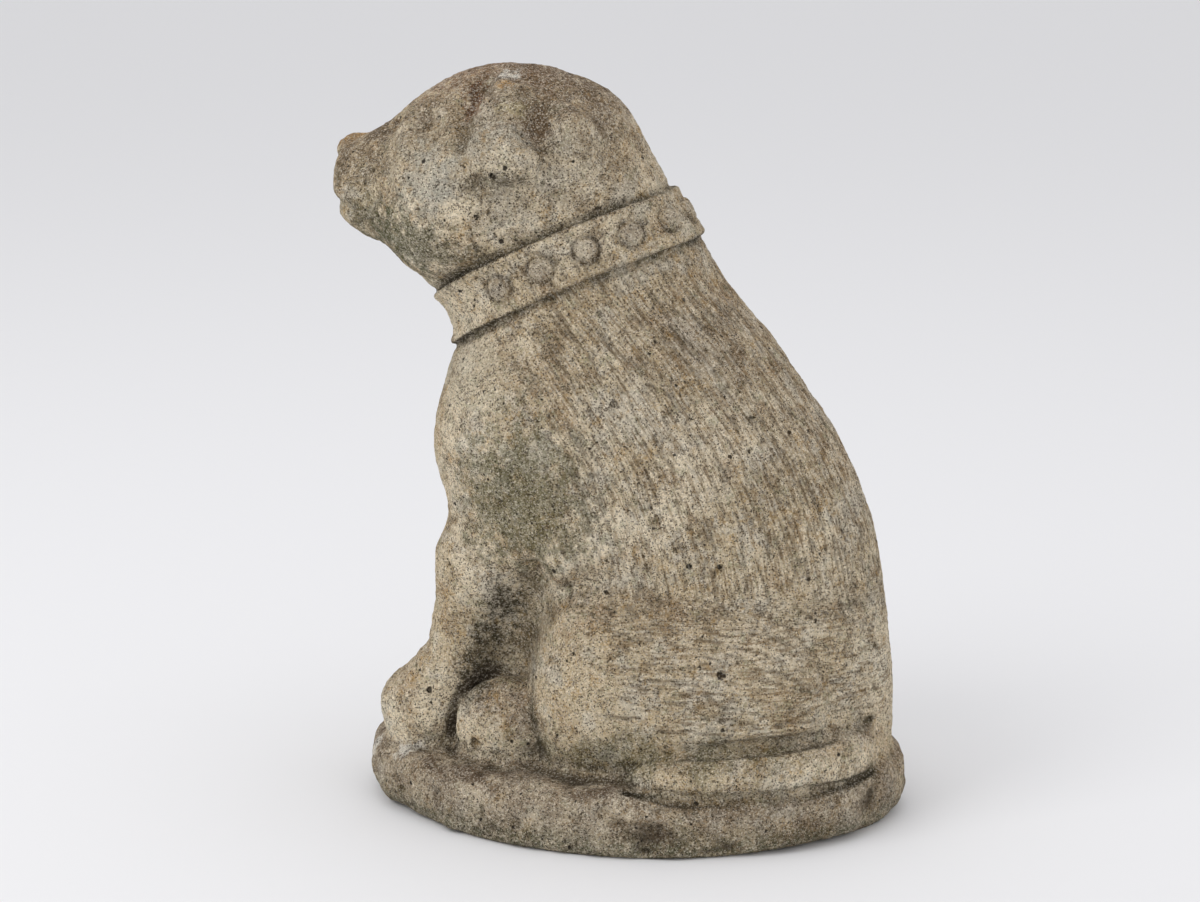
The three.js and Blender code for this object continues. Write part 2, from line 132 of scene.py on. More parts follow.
def limb(p: Points, start: Place, end: Place, start_radius: float, end_radius: float) -> Values:
    """Distance to a limb that tapers from one ball to another.

    Args:
        p: Points, as three rows.
        start: Centre of the first ball.
        end: Centre of the second ball.
        start_radius: Radius of the first ball.
        end_radius: Radius of the second ball.

    Returns:
        Signed distances, negative inside.
    """
    x, y, z = p[0] - start[0], p[1] - start[1], p[2] - start[2]
    ax, ay, az = end[0] - start[0], end[1] - start[1], end[2] - start[2]
    share = np.clip((x * ax + y * ay + z * az) / (ax * ax + ay * ay + az * az), 0.0, 1.0)
    gap = np.sqrt((x - share * ax) ** 2 + (y - share * ay) ** 2 + (z - share * az) ** 2)
    return gap - (start_radius + (end_radius - start_radius) * share)


@cache
def smooth_rows(path: tuple[Place, ...], radii: tuple[float, ...]) -> list[list[float]]:
    """Places and radii on a smooth curve through the given ones, with one more between each two."""
    rows = np.column_stack([np.array(path, float), np.array(radii, float)])
    ends = np.vstack([2.0 * rows[0] - rows[1], rows, 2.0 * rows[-1] - rows[-2]])
    middles = (9.0 * (ends[1:-2] + ends[2:-1]) - ends[:-3] - ends[3:]) / 16.0
    found = np.empty((2 * len(rows) - 1, 4))
    found[::2] = rows
    found[1::2] = middles
    return found.tolist()


def strand(p: Points, path: tuple[Place, ...], radii: tuple[float, ...]) -> Values:
    """Distance to limbs laid end to end along a path.

    Args:
        p: Points, as three rows.
        path: The balls' centres in order.
        radii: The balls' radii in order.

    Returns:
        Signed distances, negative inside.
    """
    rows = smooth_rows(path, radii)
    pieces = zip(rows[:-1], rows[1:])
    return np.minimum.reduce([limb(p, a[:3], b[:3], a[3], b[3]) for a, b in pieces])


def rounded_block(p: Points, centre: Place, half: Place, edge: float, pitch: float) -> Values:
    """Distance to a block with rounded edges.

    Args:
        p: Points, as three rows.
        centre: Middle of the block.
        half: Half sizes along its own axes.
        edge: Radius of the edges.
        pitch: Turn about the axis across, in degrees.

    Returns:
        Signed distances, negative inside.
    """
    c, s = math.cos(math.radians(pitch)), math.sin(math.radians(pitch))
    y, z = p[1] - centre[1], p[2] - centre[2]
    a = np.abs(p[0] - centre[0]) - (half[0] - edge)
    b = np.abs(y * c + z * s) - (half[1] - edge)
    d = np.abs(z * c - y * s) - (half[2] - edge)
    outside = np.sqrt(np.maximum(a, 0.0) ** 2 + np.maximum(b, 0.0) ** 2 + np.maximum(d, 0.0) ** 2)
    return outside + np.minimum(np.maximum(np.maximum(a, b), d), 0.0) - edge


def both_sides(p: Points) -> Points:
    """Folds points onto the left half, for forms that are the same on both sides."""
    return np.stack([np.abs(p[0]), p[1], p[2]])


@dataclass(frozen=True)
class Scale:
    """Sizes that tie the figure's own units to the real world, in millimetres."""

    figure_height: float = 366.0
    base_thickness: float = 34.0

    @property
    def unit(self) -> float:
        """One hundredth of the figure's height."""
        return self.figure_height / 100.0

    def figure_points(self, millimetres: Points) -> Points:
        """Turns points in millimetres into figure units above the base's top."""
        lifted = np.stack([millimetres[0], millimetres[1], millimetres[2] - self.base_thickness])
        return lifted / self.unit

    def metres(self, place: Place) -> Place:
        """Turns one place in figure units into metres."""
        x, y, z = (value * self.unit * MILLIMETRE for value in place)
        return x, y, z + self.base_thickness * MILLIMETRE


@dataclass(frozen=True)
class Trunk:
    """Body and neck: oval sections stacked from the base to the nape."""

    sections: tuple[tuple[float, float, float, float], ...] = (
        (-10, 37.4, -24, 19.6),
        (8, 38.2, -24.4, 20.2),
        (20, 37.1, -24.6, 19.7),
        (32, 35.2, -25.9, 19.9),
        (40, 32.5, -27.2, 20.0),
        (47, 29.1, -28.4, 19.4),
        (55, 23.6, -27.8, 18),
        (61, 19.2, -27.1, 16.8),
        (68, 13.1, -29.6, 15.6),
        (76, 8.3, -26, 14.8),
        (84, 2.8, -24, 14.2),
        (92, -5.0, -22, 12.5),
    )
    crown: float = 90.0
    slant: float = 0.92

    def column(self, index: int, height: Values) -> Values:
        """Reads one column of the sections at each height, on a smooth curve through the rows.

        Args:
            index: 1 for the back, 2 for the front, 3 for the half width.
            height: Heights to read at.

        Returns:
            The column's values there.
        """
        rows = np.array(self.sections, np.float32)
        levels = rows[:, 0]
        values = rows[:, index]
        slopes = np.empty_like(values)
        slopes[1:-1] = (values[2:] - values[:-2]) / (levels[2:] - levels[:-2])
        slopes[0] = (values[1] - values[0]) / (levels[1] - levels[0])
        slopes[-1] = (values[-1] - values[-2]) / (levels[-1] - levels[-2])
        i = np.clip(np.searchsorted(levels, height) - 1, 0, len(rows) - 2)
        span = levels[i + 1] - levels[i]
        t = np.clip((height - levels[i]) / span, 0.0, 1.0)
        rise = t * t * (3.0 - 2.0 * t)
        bend = t * (1.0 - t) ** 2 * span * slopes[i] + t * t * (t - 1.0) * span * slopes[i + 1]
        return values[i] * (1.0 - rise) + values[i + 1] * rise + bend

    def distance(self, p: Points) -> Values:
        """Signed distances to the trunk, in figure units.

        The slant lessens them a little, because the sections change with height.
        """
        back = self.column(1, p[2])
        front = self.column(2, p[2])
        half_width = self.column(3, p[2])
        y = p[1] - (back + front) / 2.0
        depth = (back - front) / 2.0
        near = np.sqrt((p[0] / half_width) ** 2 + (y / depth) ** 2)
        slope = np.sqrt((p[0] / half_width**2) ** 2 + (y / depth**2) ** 2)
        side = near * (near - 1.0) / np.maximum(slope, 1e-6) * self.slant
        return carve(side, self.crown - p[2], 8.0)


@dataclass(frozen=True)
class Head:
    """Skull, cheeks, jaw, muzzle, brows, eyes, nose, mouth and chin."""

    fold: tuple[Place, ...] = (
        (8.6, -31.4, 92.2),
        (12.8, -30.6, 89.3),
        (15.2, -30.6, 87.0),
        (16.2, -30.4, 84.0),
        (16.2, -29.2, 81.4),
    )
    mouth: tuple[Place, ...] = (
        (0, -45.4, 80.6),
        (5.9, -44.2, 79.5),
        (10.4, -40.2, 79.2),
        (12.6, -36.4, 80.2),
    )
    parting: tuple[Place, ...] = ((0, -45.0, 85.2), (0, -45.8, 80.8))
    socket: Place = (8.0, -34.6, 91.6)
    temple: Place = (12.8, -28.4, 92.4)
    brow_foot: tuple[Place, Place] = ((3.2, -36.6, 88.8), (7.6, -34.4, 87.8))
    nose: Place = (0, -42.3, 86.7)
    nostril: tuple[Place, Place] = ((1.7, -45.5, 85.5), (2.6, -44.3, 85.2))
    lip_line: tuple[Place, Place] = ((0, -45.2, 84.8), (0, -44.4, 81.0))

    def bulk(self, p: Points, m: Points) -> Values:
        """The skull with cheeks, jaw, muzzle and chin, in figure units."""
        d = ovoid(p, (0, -18.6, 82.3), (17.2, 19.6, 17.3))
        d = blend(d, ovoid(p, (0, -10.6, 85.2), (12.6, 10.6, 11.4)), 3)
        d = blend(d, ovoid(m, (8.9, -24.6, 79.6), (9.8, 11, 10.5)), 4)
        d = blend(d, ovoid(p, (0, -25, 77.4), (12.5, 15, 9), pitch=-32), 4)
        d = blend(d, rounded_block(p, (0, -36.2, 82.2), (9.4, 8.2, 6.6), 5.2, 5), 6)
        d = blend(d, ovoid(m, (6, -28.6, 88.8), (6, 5.2, 4.8)), 3)
        d = blend(d, ovoid(m, (5.2, -38.6, 81), (5.2, 5, 4.2)), 1.6)
        return blend(d, ovoid(p, (0, -37.2, 77.2), (6.6, 5.8, 4)), 1)

    def features(self, d: Values, p: Points, m: Points) -> Values:
        """Models brows, eyes, nose and mouth on the bulk.

        Args:
            d: Distances to the bulk.
            p: Points, as three rows.
            m: The same points folded onto the left half.

        Returns:
            Distances to the finished head.
        """
        d = blend(d, strand(m, self.fold, (0.3, 0.8, 0.9, 0.6, 0.3)), 2.6)
        d = carve(d, ovoid(m, self.temple, (1.4, 1.4, 1.0), roll=30), 3.6)
        d = carve(d, limb(m, *self.brow_foot, 0.4, 0.7), 1.6)
        d = blend(d, ovoid(p, self.nose, (4.4, 2.8, 2.4)), 1.0)
        d = carve(d, limb(m, *self.nostril, 0.5, 0.6), 0.8)
        d = carve(d, limb(p, *self.lip_line, 0.3, 0.4), 0.8)
        d = carve(d, strand(m, self.mouth, (0.5, 0.6, 0.4, 0.1)), 1.8)
        d = carve(d, strand(m, self.parting, (0.3, 0.4)), 1.2)
        return carve(d, ovoid(m, self.socket, (2.2, 1.5, 1.3), roll=14), 2.2)

    def distance(self, p: Points) -> Values:
        """Signed distances to the head, in figure units."""
        m = both_sides(p)
        return self.features(self.bulk(p, m), p, m)


@dataclass(frozen=True)
class Ears:
    """Folded button ears, their tips dropped to the side of the head."""

    edge: tuple[Place, ...] = (
        (8.2, -18.0, 97.0),
        (11.6, -18.6, 94.4),
        (15.2, -19.0, 90.4),
        (17.0, -18.2, 86.8),
    )
    groove: tuple[Place, ...] = (
        (8.8, -20.0, 97.8),
        (12.2, -21.6, 95.4),
        (15.0, -22.2, 92.4),
        (17.0, -22.2, 89.4),
    )
    undercut: tuple[Place, ...] = ((19.0, -20.0, 84.0), (19.2, -16.4, 82.6), (18.4, -12.8, 83.2))

    def add_to(self, d: Values, p: Points) -> Values:
        """Models the ears on the head.

        Args:
            d: Distances to the head and body.
            p: Points, as three rows.

        Returns:
            Distances with the ears added.
        """
        m = both_sides(p)
        d = carve(d, strand(m, self.groove, (0.8, 1.9, 1.5, 0.2)), 1.8)
        d = blend(d, ovoid(m, (14.0, -15.6, 90.9), (2.5, 4.4, 7.9), roll=36), 1.8)
        d = blend(d, strand(m, self.edge, (0.8, 1.1, 1.2, 0.9)), 1.8)
        d = blend(d, ovoid(m, (16.6, -15.6, 87.4), (2.5, 4.5, 3.9)), 2.6)
        d = blend(d, ovoid(m, (11.5, -8.0, 90.0), (3.2, 3.7, 4.3)), 3.6)
        d = carve(d, ovoid(m, (15.4, -11.3, 92.4), (1.8, 2.0, 3.2), roll=36), 3.0)
        return carve(d, strand(m, self.undercut, (0.6, 1.0, 0.6)), 1.8)


@dataclass(frozen=True)
class Limbs:
    """Shoulders, breast, legs, haunches and paws, the same on both sides."""

    paw_middle: float = 9.3
    toe_gap: float = 2.7
    recess: tuple[Place, ...] = (
        (17.4, -10.4, 29.6),
        (17.2, -12.6, 25.0),
        (16.8, -14.6, 20.0),
        (16.4, -16.4, 15.0),
        (16.0, -18.4, 10.0),
        (15.4, -20.6, 6.0),
    )
    recess_radii: tuple[float, ...] = (0.9, 2.5, 3.7, 4.4, 4.4, 3.6)
    haunch_crease: tuple[Place, ...] = (
        (18.8, -6.6, 25.6),
        (20.4, -1, 27.8),
        (20.9, 6, 27.2),
        (20.7, 18, 26.2),
    )
    thigh_edge: tuple[Place, ...] = (
        (18.8, -11.4, 15.5),
        (19.4, -12.0, 11.4),
        (19.6, -11.6, 7.4),
        (19.4, -9.6, 3.6),
    )
    shin: tuple[Place, ...] = ((9.0, -21.4, 28), (9.1, -24.4, 14), (9.3, -27.2, 10), (9.3, -30.8, 6))
    shin_radii: tuple[float, ...] = (6.4, 5.1, 5.1, 5.2)

    def forequarter(self, m: Points) -> tuple[Values, Values]:
        """The broad shoulder, and the foreleg with its breast and paw."""
        shoulder = ovoid(m, (10.2, -13.5, 47.5), (10.6, 13, 13.4), pitch=-12)
        breast = ovoid(m, (5.6, -20.0, 43.6), (7, 8.8, 9.5))
        upper = limb(m, (10.5, -12.6, 42), (9.4, -18.8, 29), 8.8, 6.7)
        lower = strand(m, self.shin, self.shin_radii)
        return shoulder, blend(breast, blend(upper, lower, 5), 6)

    def hindquarter(self, m: Points) -> Values:
        """The haunch, its front mass and the hind paw below it."""
        haunch = ovoid(m, (13.6, 9.2, 9.5), (10.4, 21.4, 18.4))
        front = ovoid(m, (13.9, -0.6, 12.0), (10.5, 12.1, 18.2), pitch=-12)
        return blend(haunch, front, 1.8)

    def hollow(self, m: Points) -> Values:
        """The deep hollow between foreleg and haunch, longer across than it is wide."""
        rows = smooth_rows(self.recess, self.recess_radii)
        d = limb(m, rows[0][:3], rows[1][:3], rows[0][3], rows[1][3])
        for a, b in zip(rows[1:-1], rows[2:]):
            d = blend(d, limb(m, a[:3], b[:3], a[3], b[3]), 1.6)
        return d + 0.3

    def toes(self, d: Values, m: Points, centre: Place) -> Values:
        """Parts the toes of one paw with shallow grooves that run up its front."""
        x, y, z = centre
        for side in (-1.0, 0.0, 1.0):
            shift = side * self.toe_gap
            top = (x + shift * 0.8, y - 5.2, z + 3.8)
            foot = (x + shift * 1.25, y - 8.6, z - 1.6)
            d = carve(d, limb(m, top, foot, 0.1, 0.3), 1.9)
        return d

    def add_to(self, trunk: Values, p: Points) -> Values:
        """Models the limbs on the trunk.

        Args:
            trunk: Distances to the trunk.
            p: Points, as three rows.

        Returns:
            Distances to the trunk with its limbs.
        """
        m = both_sides(p)
        shoulder, foreleg = self.forequarter(m)
        d = blend(trunk, shoulder, 7)
        d = blend(d, ovoid(m, (16.5, -7.2, 32.8), (3.0, 4.8, 4.0)), 6)
        d = carve(d, self.hollow(m), 3.4)
        d = blend(d, foreleg, 2.8)
        d = carve(d, strand(m, self.haunch_crease, (0.5, 0.9, 0.8, 0.3)), 2.8)
        d = blend(d, self.hindquarter(m), 1.3)
        d = blend(d, ovoid(m, (self.paw_middle, -29, 3.9), (5.6, 7.8, 6.3), pitch=-8), 2.6)
        d = blend(d, ovoid(m, (14.0, -16.2, 4.0), (5.6, 8.0, 7.6)), 1.2)
        d = self.toes(d, m, (self.paw_middle, -29, 3.4))
        return self.toes(d, m, (14.0, -16.0, 4.4))


@dataclass(frozen=True)
class OvalBase:
    """The low oval base with a worn, chipped rim, sizes in millimetres."""

    half_length: float = 147.0
    half_width: float = 109.0
    top_radius: float = 11.0
    foot_radius: float = 6.0
    front_tuck: float = 8.0
    rear_tuck: float = 10.0
    wander: float = 1.6
    chips: int = 64
    chip_sizes: tuple[float, float] = (0.4, 1.3)
    chip_levels: tuple[float, float] = (-0.9, -0.12)
    seed: int = 7

    def distance(self, p: Points, scale: Scale) -> Values:
        """Signed distances to the base, in figure units."""
        wide, long = self.half_width / scale.unit, self.half_length / scale.unit
        thick = scale.base_thickness / scale.unit
        near = np.sqrt((p[0] / wide) ** 2 + (p[1] / long) ** 2)
        slope = np.sqrt((p[0] / wide**2) ** 2 + (p[1] / long**2) ** 2)
        angle = np.arctan2(p[1], p[0])
        stray = 0.5 * np.sin(3 * angle + 0.6) + 0.32 * np.sin(5 * angle + 2.1) + 0.18 * np.sin(9 * angle)
        side = near * (near - 1.0) / np.maximum(slope, 1e-6) - stray * (self.wander / scale.unit)
        end = p[1] / long
        tuck = self.front_tuck * ease(-end, 0.4, 0.85) + self.rear_tuck * ease(end, 0.3, 0.8)
        edge = np.where(p[2] > -thick / 2, self.top_radius, self.foot_radius + tuck) / scale.unit
        level = np.abs(p[2] + thick / 2) - thick / 2
        a = side + edge
        b = level + edge
        corner = np.sqrt(np.maximum(a, 0.0) ** 2 + np.maximum(b, 0.0) ** 2)
        return (np.minimum(np.maximum(a, b), 0.0) + corner - edge).astype(np.float32)

    def chip(self, d: Values, p: Points, scale: Scale) -> Values:
        """Breaks small chips out of the rim.

        Args:
            d: Distances to the whole statue.
            p: Points, as three rows.
            scale: The statue's scale.

        Returns:
            Distances with the chips taken out.
        """
        draw = np.random.default_rng(self.seed)
        low = p[2] < 1.0
        q = p[:, low]
        cut = d[low]
        for _ in range(self.chips):
            angle = draw.uniform(0.0, 2.0 * math.pi)
            height = draw.uniform(*self.chip_levels) * scale.base_thickness / scale.unit
            size = draw.uniform(*self.chip_sizes)
            out = 1.0 + size * 0.55 * scale.unit / self.half_length
            x = self.half_width / scale.unit * out * math.cos(angle)
            y = self.half_length / scale.unit * out * math.sin(angle)
            flake = ovoid(q, (x, y, height), (size, size, size * 0.7), yaw=math.degrees(angle))
            cut = carve(cut, flake, 0.5)
        d = d.copy()
        d[low] = cut
        return d


@dataclass(frozen=True)
class Tail:
    """The thick tail laid round the left haunch."""

    path: tuple[Place, ...] = (
        (0, 32.9, 2.6),
        (5, 32.6, 2.4),
        (10, 31.4, 2.2),
        (14.2, 28.9, 2.1),
        (17.4, 25.3, 2.0),
        (20.0, 21.4, 1.8),
        (21.9, 17.4, 1.7),
        (22.9, 13.0, 1.5),
        (23.4, 9.4, 1.2),
        (23.6, 6.8, 0.8),
    )
    upper_crease: tuple[Place, ...] = (
        (7, 36.0, 6.8),
        (13.5, 33.0, 6.6),
        (19.7, 26.9, 6.3),
        (23.1, 19, 5.9),
        (24.5, 13, 5.4),
        (24.9, 8, 4.8),
    )
    lower_crease: tuple[Place, ...] = (
        (9, 36.6, -0.6),
        (15.8, 33.2, -0.6),
        (20.4, 28.6, -0.6),
        (23.8, 24.0, -0.6),
        (26.1, 18.4, -0.6),
        (27.2, 12, -0.7),
        (27.4, 4, -0.7),
    )
    root_radius: float = 18.5
    tip_radius: float = 9.0
    taper: float = 3.0

    def distance(self, p: Points, scale: Scale) -> Values:
        """Signed distances to the tail, in figure units."""
        share = np.linspace(0.0, 1.0, len(self.path))
        radii = (self.root_radius + (self.tip_radius - self.root_radius) * share**self.taper) / scale.unit
        return strand(p, self.path, tuple(float(r) for r in radii))

    def part_from_base(self, d: Values, p: Points) -> Values:
        """Draws the creases above and below the tail."""
        d = carve(d, strand(p, self.upper_crease, (0.2, 0.8, 1.2, 1.3, 1.1, 0.5)), 0.8)
        return carve(d, strand(p, self.lower_crease, (0.2, 0.7, 1.0, 1.0, 1.0, 0.8, 0.5)), 0.6)


@dataclass(frozen=True)
class Collar:
    """The tilted band round the neck, sizes in millimetres and places in figure units."""

    throat: tuple[float, float] = (-29.0, 62.0)
    nape: tuple[float, float] = (8.6, 79.4)
    saddle: float = 1.4
    width: float = 28.4
    thickness: float = 1.3
    nape_thickness: float = 1.7
    rim_height: float = 0.7
    rim_width: float = 2.0
    rim_inset: float = 2.2
    second_rim_place: float = 0.55
    second_rim_width: float = 1.4
    second_rim_height: float = 0.4
    gutter_gap: float = 2.2
    gutter_width: float = 2.0
    gutter_depth: float = 1.1
    neck_half_width: float = 16.0
    stud_diameter: float = 13.0
    stud_height: float = 3.0
    stud_pitch: float = 25.8
    stud_count: int = 11

    def rise(self, x: Values) -> Values:
        """How far the band's middle line rises towards the sides of the neck."""
        return self.saddle * np.minimum(np.abs(x) / self.neck_half_width, 1.2) ** 2

    def across(self, p: Points) -> Values:
        """Height of each point above the band's middle line, measured up the neck."""
        dy = self.nape[0] - self.throat[0]
        dz = self.nape[1] - self.throat[1]
        length = math.hypot(dy, dz)
        y = p[1] - (self.throat[0] + self.nape[0]) / 2.0
        z = p[2] - (self.throat[1] + self.nape[1]) / 2.0
        return (z * dy - y * dz) / length - self.rise(p[0])

    def add_to(self, d: Values, p: Points, scale: Scale) -> Values:
        """Lays the band with its raised rims round the neck.

        Args:
            d: Distances to the figure.
            p: Points, as three rows.
            scale: The statue's scale.

        Returns:
            Distances with the band added.
        """
        u = scale.unit
        height = self.across(p)
        half = self.width / 2.0 / u
        rim_line = np.abs(height) - (half - self.rim_inset / u)
        rim = np.exp(-((rim_line * u / self.rim_width) ** 2)) * (self.rim_height / u)
        second_line = (height + half * self.second_rim_place) * u / self.second_rim_width
        second = np.exp(-(second_line**2)) * (self.second_rim_height / u)
        gutter_line = ((np.abs(height) - half) * u - self.gutter_gap) / self.gutter_width
        gutter = np.exp(-(gutter_line**2)) * (self.gutter_depth / u)
        thickness = self.thickness + self.nape_thickness * ease(p[1], -16.0, 8.0)
        band = carve(d - thickness / u - rim - second, half - np.abs(height), 0.5)
        return blend(d + gutter, band, 0.25)


@dataclass(frozen=True)
class Casting:
    """The whole statue as one field of distances, in millimetres."""

    scale: Scale = Scale()
    trunk: Trunk = Trunk()
    head: Head = Head()
    ears: Ears = Ears()
    limbs: Limbs = Limbs()
    base: OvalBase = OvalBase()
    tail: Tail = Tail()
    collar: Collar = Collar()
    holes: tuple[tuple[float, ...], ...] = (
        (18.4, 0.4, 53.7, 0.5),
        (19.9, 7.1, 38.0, 0.5),
        (19.4, 11.6, 31.1, 0.45),
        (18.5, 15.8, 31.1, 0.4),
        (22.5, 16.9, 16.5, 0.7),
        (8.1, 31.8, 34.9, 0.45),
        (14.3, -28.1, 8.9, 0.4),
        (18.8, -20.0, 2.4, 0.9),
        (19.2, -16.6, 85.4, 0.45),
        (18.2, -13.0, 84.0, 0.5),
        (18.4, -19.2, 79.4, 0.45),
        (19.4, 9.4, 45.2, 0.4),
    )

    def figure(self, p: Points) -> Values:
        """Distances to the dog without collar and tail, in figure units."""
        body = self.limbs.add_to(self.trunk.distance(p), p)
        return self.ears.add_to(blend(body, self.head.distance(p), 4), p)

    def block(self, millimetres: Points) -> Values:
        """Signed distances of one block of points, in millimetres."""
        p = self.scale.figure_points(millimetres)
        d = self.collar.add_to(self.figure(p), p, self.scale)
        base = self.base.distance(p, self.scale)
        d = blend(d, base, 2.6)
        d = blend(d, self.tail.distance(p, self.scale), 0.4)
        d = self.tail.part_from_base(d, p)
        d = self.base.chip(d, p, self.scale)
        d = self.pierce(d, p)
        floor = -(p[2] + self.scale.base_thickness / self.scale.unit)
        return (np.maximum(d, floor) * self.scale.unit).astype(np.float32)

    def pierce(self, d: Values, p: Points) -> Values:
        """Sinks the largest blow holes, each a place and a radius."""
        near = np.abs(d) < 2.5
        q, cut = p[:, near], d[near]
        for x, y, z, radius in self.holes:
            gap = np.sqrt((q[0] - x) ** 2 + (q[1] - y) ** 2 + (q[2] - z) ** 2) - radius
            cut = carve(cut, gap, 0.15)
        d = d.copy()
        d[near] = cut
        return d

    def crease_dirt_and_shade_near(self, p: Points) -> Values:
        """How close points lie to the creases, the recess and the collar's edges, where the finish paints
        shade with dirt, from 0 to 1.

        Args:
            p: Points in figure units, as three rows.

        Returns:
            1 on a crease, falling to 0 a few millimetres beside it.
        """
        m = both_sides(p)
        along_tail = (self.tail.upper_crease, self.tail.lower_crease)
        folded = (self.ears.groove, self.ears.undercut, self.limbs.thigh_edge)
        gaps = [strand(p, path, (0.0,) * len(path)) for path in along_tail]
        gaps += [strand(m, path, (0.3,) * len(path)) for path in folded]
        near = np.exp(-((np.minimum.reduce(gaps) / 1.1) ** 2))
        # Painted shade down the recess between foreleg and haunch.
        shade = ease(m[2], 10.0, 16.0) * ease(m[2], 30.0, 21.0)
        near = np.maximum(near, 0.7 * shade * ease(self.limbs.hollow(m), 3.6, 0.2))
        # A line of painted shade with dirt along the collar's edges.
        edge = np.abs(self.collar.across(p)) - self.collar.width / 2.0 / self.scale.unit
        return np.maximum(near, np.exp(-(((edge - 0.25) / 0.5) ** 2)))

    def distance(self, millimetres: Points, share: int = 60000) -> Values:
        """Signed distances of any number of points, worked out in blocks side by side."""
        blocks = np.array_split(millimetres, max(1, millimetres.shape[1] // share), axis=1)
        with ThreadPoolExecutor(4) as pool:
            return np.concatenate(list(pool.map(self.block, blocks)))

    def slope(self, millimetres: Points, step: float = 0.35) -> Points:
        """Unit normals of the field, from its differences along the three axes."""
        rows = []
        for axis in range(3):
            shift = np.zeros((3, 1), np.float32)
            shift[axis] = step
            rows.append(self.distance(millimetres + shift) - self.distance(millimetres - shift))
        gradient = np.stack(rows)
        return gradient / np.maximum(np.linalg.norm(gradient, axis=0), 1e-6)


@dataclass(frozen=True)
class Skinner:
    """Wraps a field of distances in a closed skin of even cells, sizes in millimetres."""

    cell: float = 1.35
    coarse: int = 8
    low: Place = (-118.0, -178.0, -4.0)
    high: Place = (118.0, 156.0, 410.0)

    def sample(self, distance: Callable[[Points], Values]) -> Values:
        """Reads the field at the grid's corners, in full only near the surface."""
        size = self.cell * self.coarse
        counts = [math.ceil((h - l) / size) for l, h in zip(self.low, self.high)]
        middles = [l + (np.arange(n, dtype=np.float32) + 0.5) * size for l, n in zip(self.low, counts)]
        centres = np.stack(np.meshgrid(*middles, indexing="ij")).reshape(3, -1)
        rough = distance(centres)
        near = np.abs(rough) < size * 1.25
        field_values = np.repeat(np.where(rough < 0.0, -size, size).astype(np.float32), self.coarse**3)
        field_values = field_values.reshape(-1, self.coarse, self.coarse, self.coarse)
        steps = (np.arange(self.coarse, dtype=np.float32) + 0.5) * self.cell - size / 2.0
        inner = np.stack(np.meshgrid(steps, steps, steps, indexing="ij")).reshape(3, -1)
        fine = (centres[:, near][:, :, None] + inner[:, None, :]).reshape(3, -1)
        field_values[near] = distance(fine).reshape(-1, self.coarse, self.coarse, self.coarse)
        blocks = field_values.reshape(*counts, self.coarse, self.coarse, self.coarse)
        return blocks.transpose(0, 3, 1, 4, 2, 5).reshape([n * self.coarse for n in counts])

    def skin(self, distance: Callable[[Points], Values]) -> tuple[Points, np.ndarray]:
        """Lays one vertex in each cell that the surface crosses, and joins them with four-sided faces.

        Args:
            distance: The field, which takes points and gives signed distances.

        Returns:
            The vertices as three rows, and the faces as rows of four indices.
        """
        grid = self.sample(distance)
        inside = grid < 0.0
        count = np.zeros([n - 1 for n in grid.shape], np.int8)
        corners = [(i, j, k) for i in (0, 1) for j in (0, 1) for k in (0, 1)]
        window = [slice(0, -1), slice(1, None)]
        for i, j, k in corners:
            count += inside[window[i], window[j], window[k]]
        cells = np.argwhere((count > 0) & (count < 8))
        number = np.full(count.shape, -1, np.int32)
        number[tuple(cells.T)] = np.arange(len(cells))
        value = {c: grid[cells[:, 0] + c[0], cells[:, 1] + c[1], cells[:, 2] + c[2]] for c in corners}
        total = np.zeros((len(cells), 3), np.float32)
        hits = np.zeros((len(cells), 1), np.float32)
        for a in corners:
            for axis in range(3):
                if a[axis]:
                    continue
                b = tuple(a[k] + (k == axis) for k in range(3))
                crossed = (value[a] < 0.0) != (value[b] < 0.0)
                gap = np.where(crossed, value[a] - value[b], 1.0)
                spot = np.tile(np.array(a, np.float32), (len(cells), 1))
                spot[:, axis] += value[a] / gap
                total += np.where(crossed[:, None], spot, 0.0)
                hits += crossed[:, None]
        corner = np.array(self.low, np.float32) + self.cell / 2.0
        vertices = (cells + total / hits) * self.cell + corner
        return vertices.T.astype(np.float32), self.faces(inside, number)

    def faces(self, inside: np.ndarray, number: np.ndarray) -> np.ndarray:
        """Joins the four cells round each crossed grid edge, with the face turned outwards."""
        found = []
        for axis in range(3):
            ahead = np.roll(inside, -1, axis)
            crossed = inside != ahead
            for k in range(3):
                edge = [slice(None)] * 3
                edge[k] = slice(-1, None) if k == axis else slice(0, 1)
                crossed[tuple(edge)] = False
            places = np.argwhere(crossed)
            b, c = (axis + 1) % 3, (axis + 2) % 3
            ring = []
            for db, dc in ((-1, -1), (0, -1), (0, 0), (-1, 0)):
                cell = places.copy()
                cell[:, b] += db
                cell[:, c] += dc
                ring.append(number[tuple(cell.T)])
            quads = np.stack(ring, axis=1)
            turned = ~inside[tuple(places.T)]
            quads[turned] = quads[turned][:, ::-1]
            found.append(quads)
        return np.concatenate(found)


# Nodes: a board lays them out for trees of both kinds.


class Kind(Enum):
    """Kinds of value that a tree takes or gives."""

    NUMBER = "NodeSocketFloat"
    COUNT = "NodeSocketInt"
    VECTOR = "NodeSocketVector"
    GEOMETRY = "NodeSocketGeometry"
    OBJECT = "NodeSocketObject"
    MATERIAL = "NodeSocketMaterial"


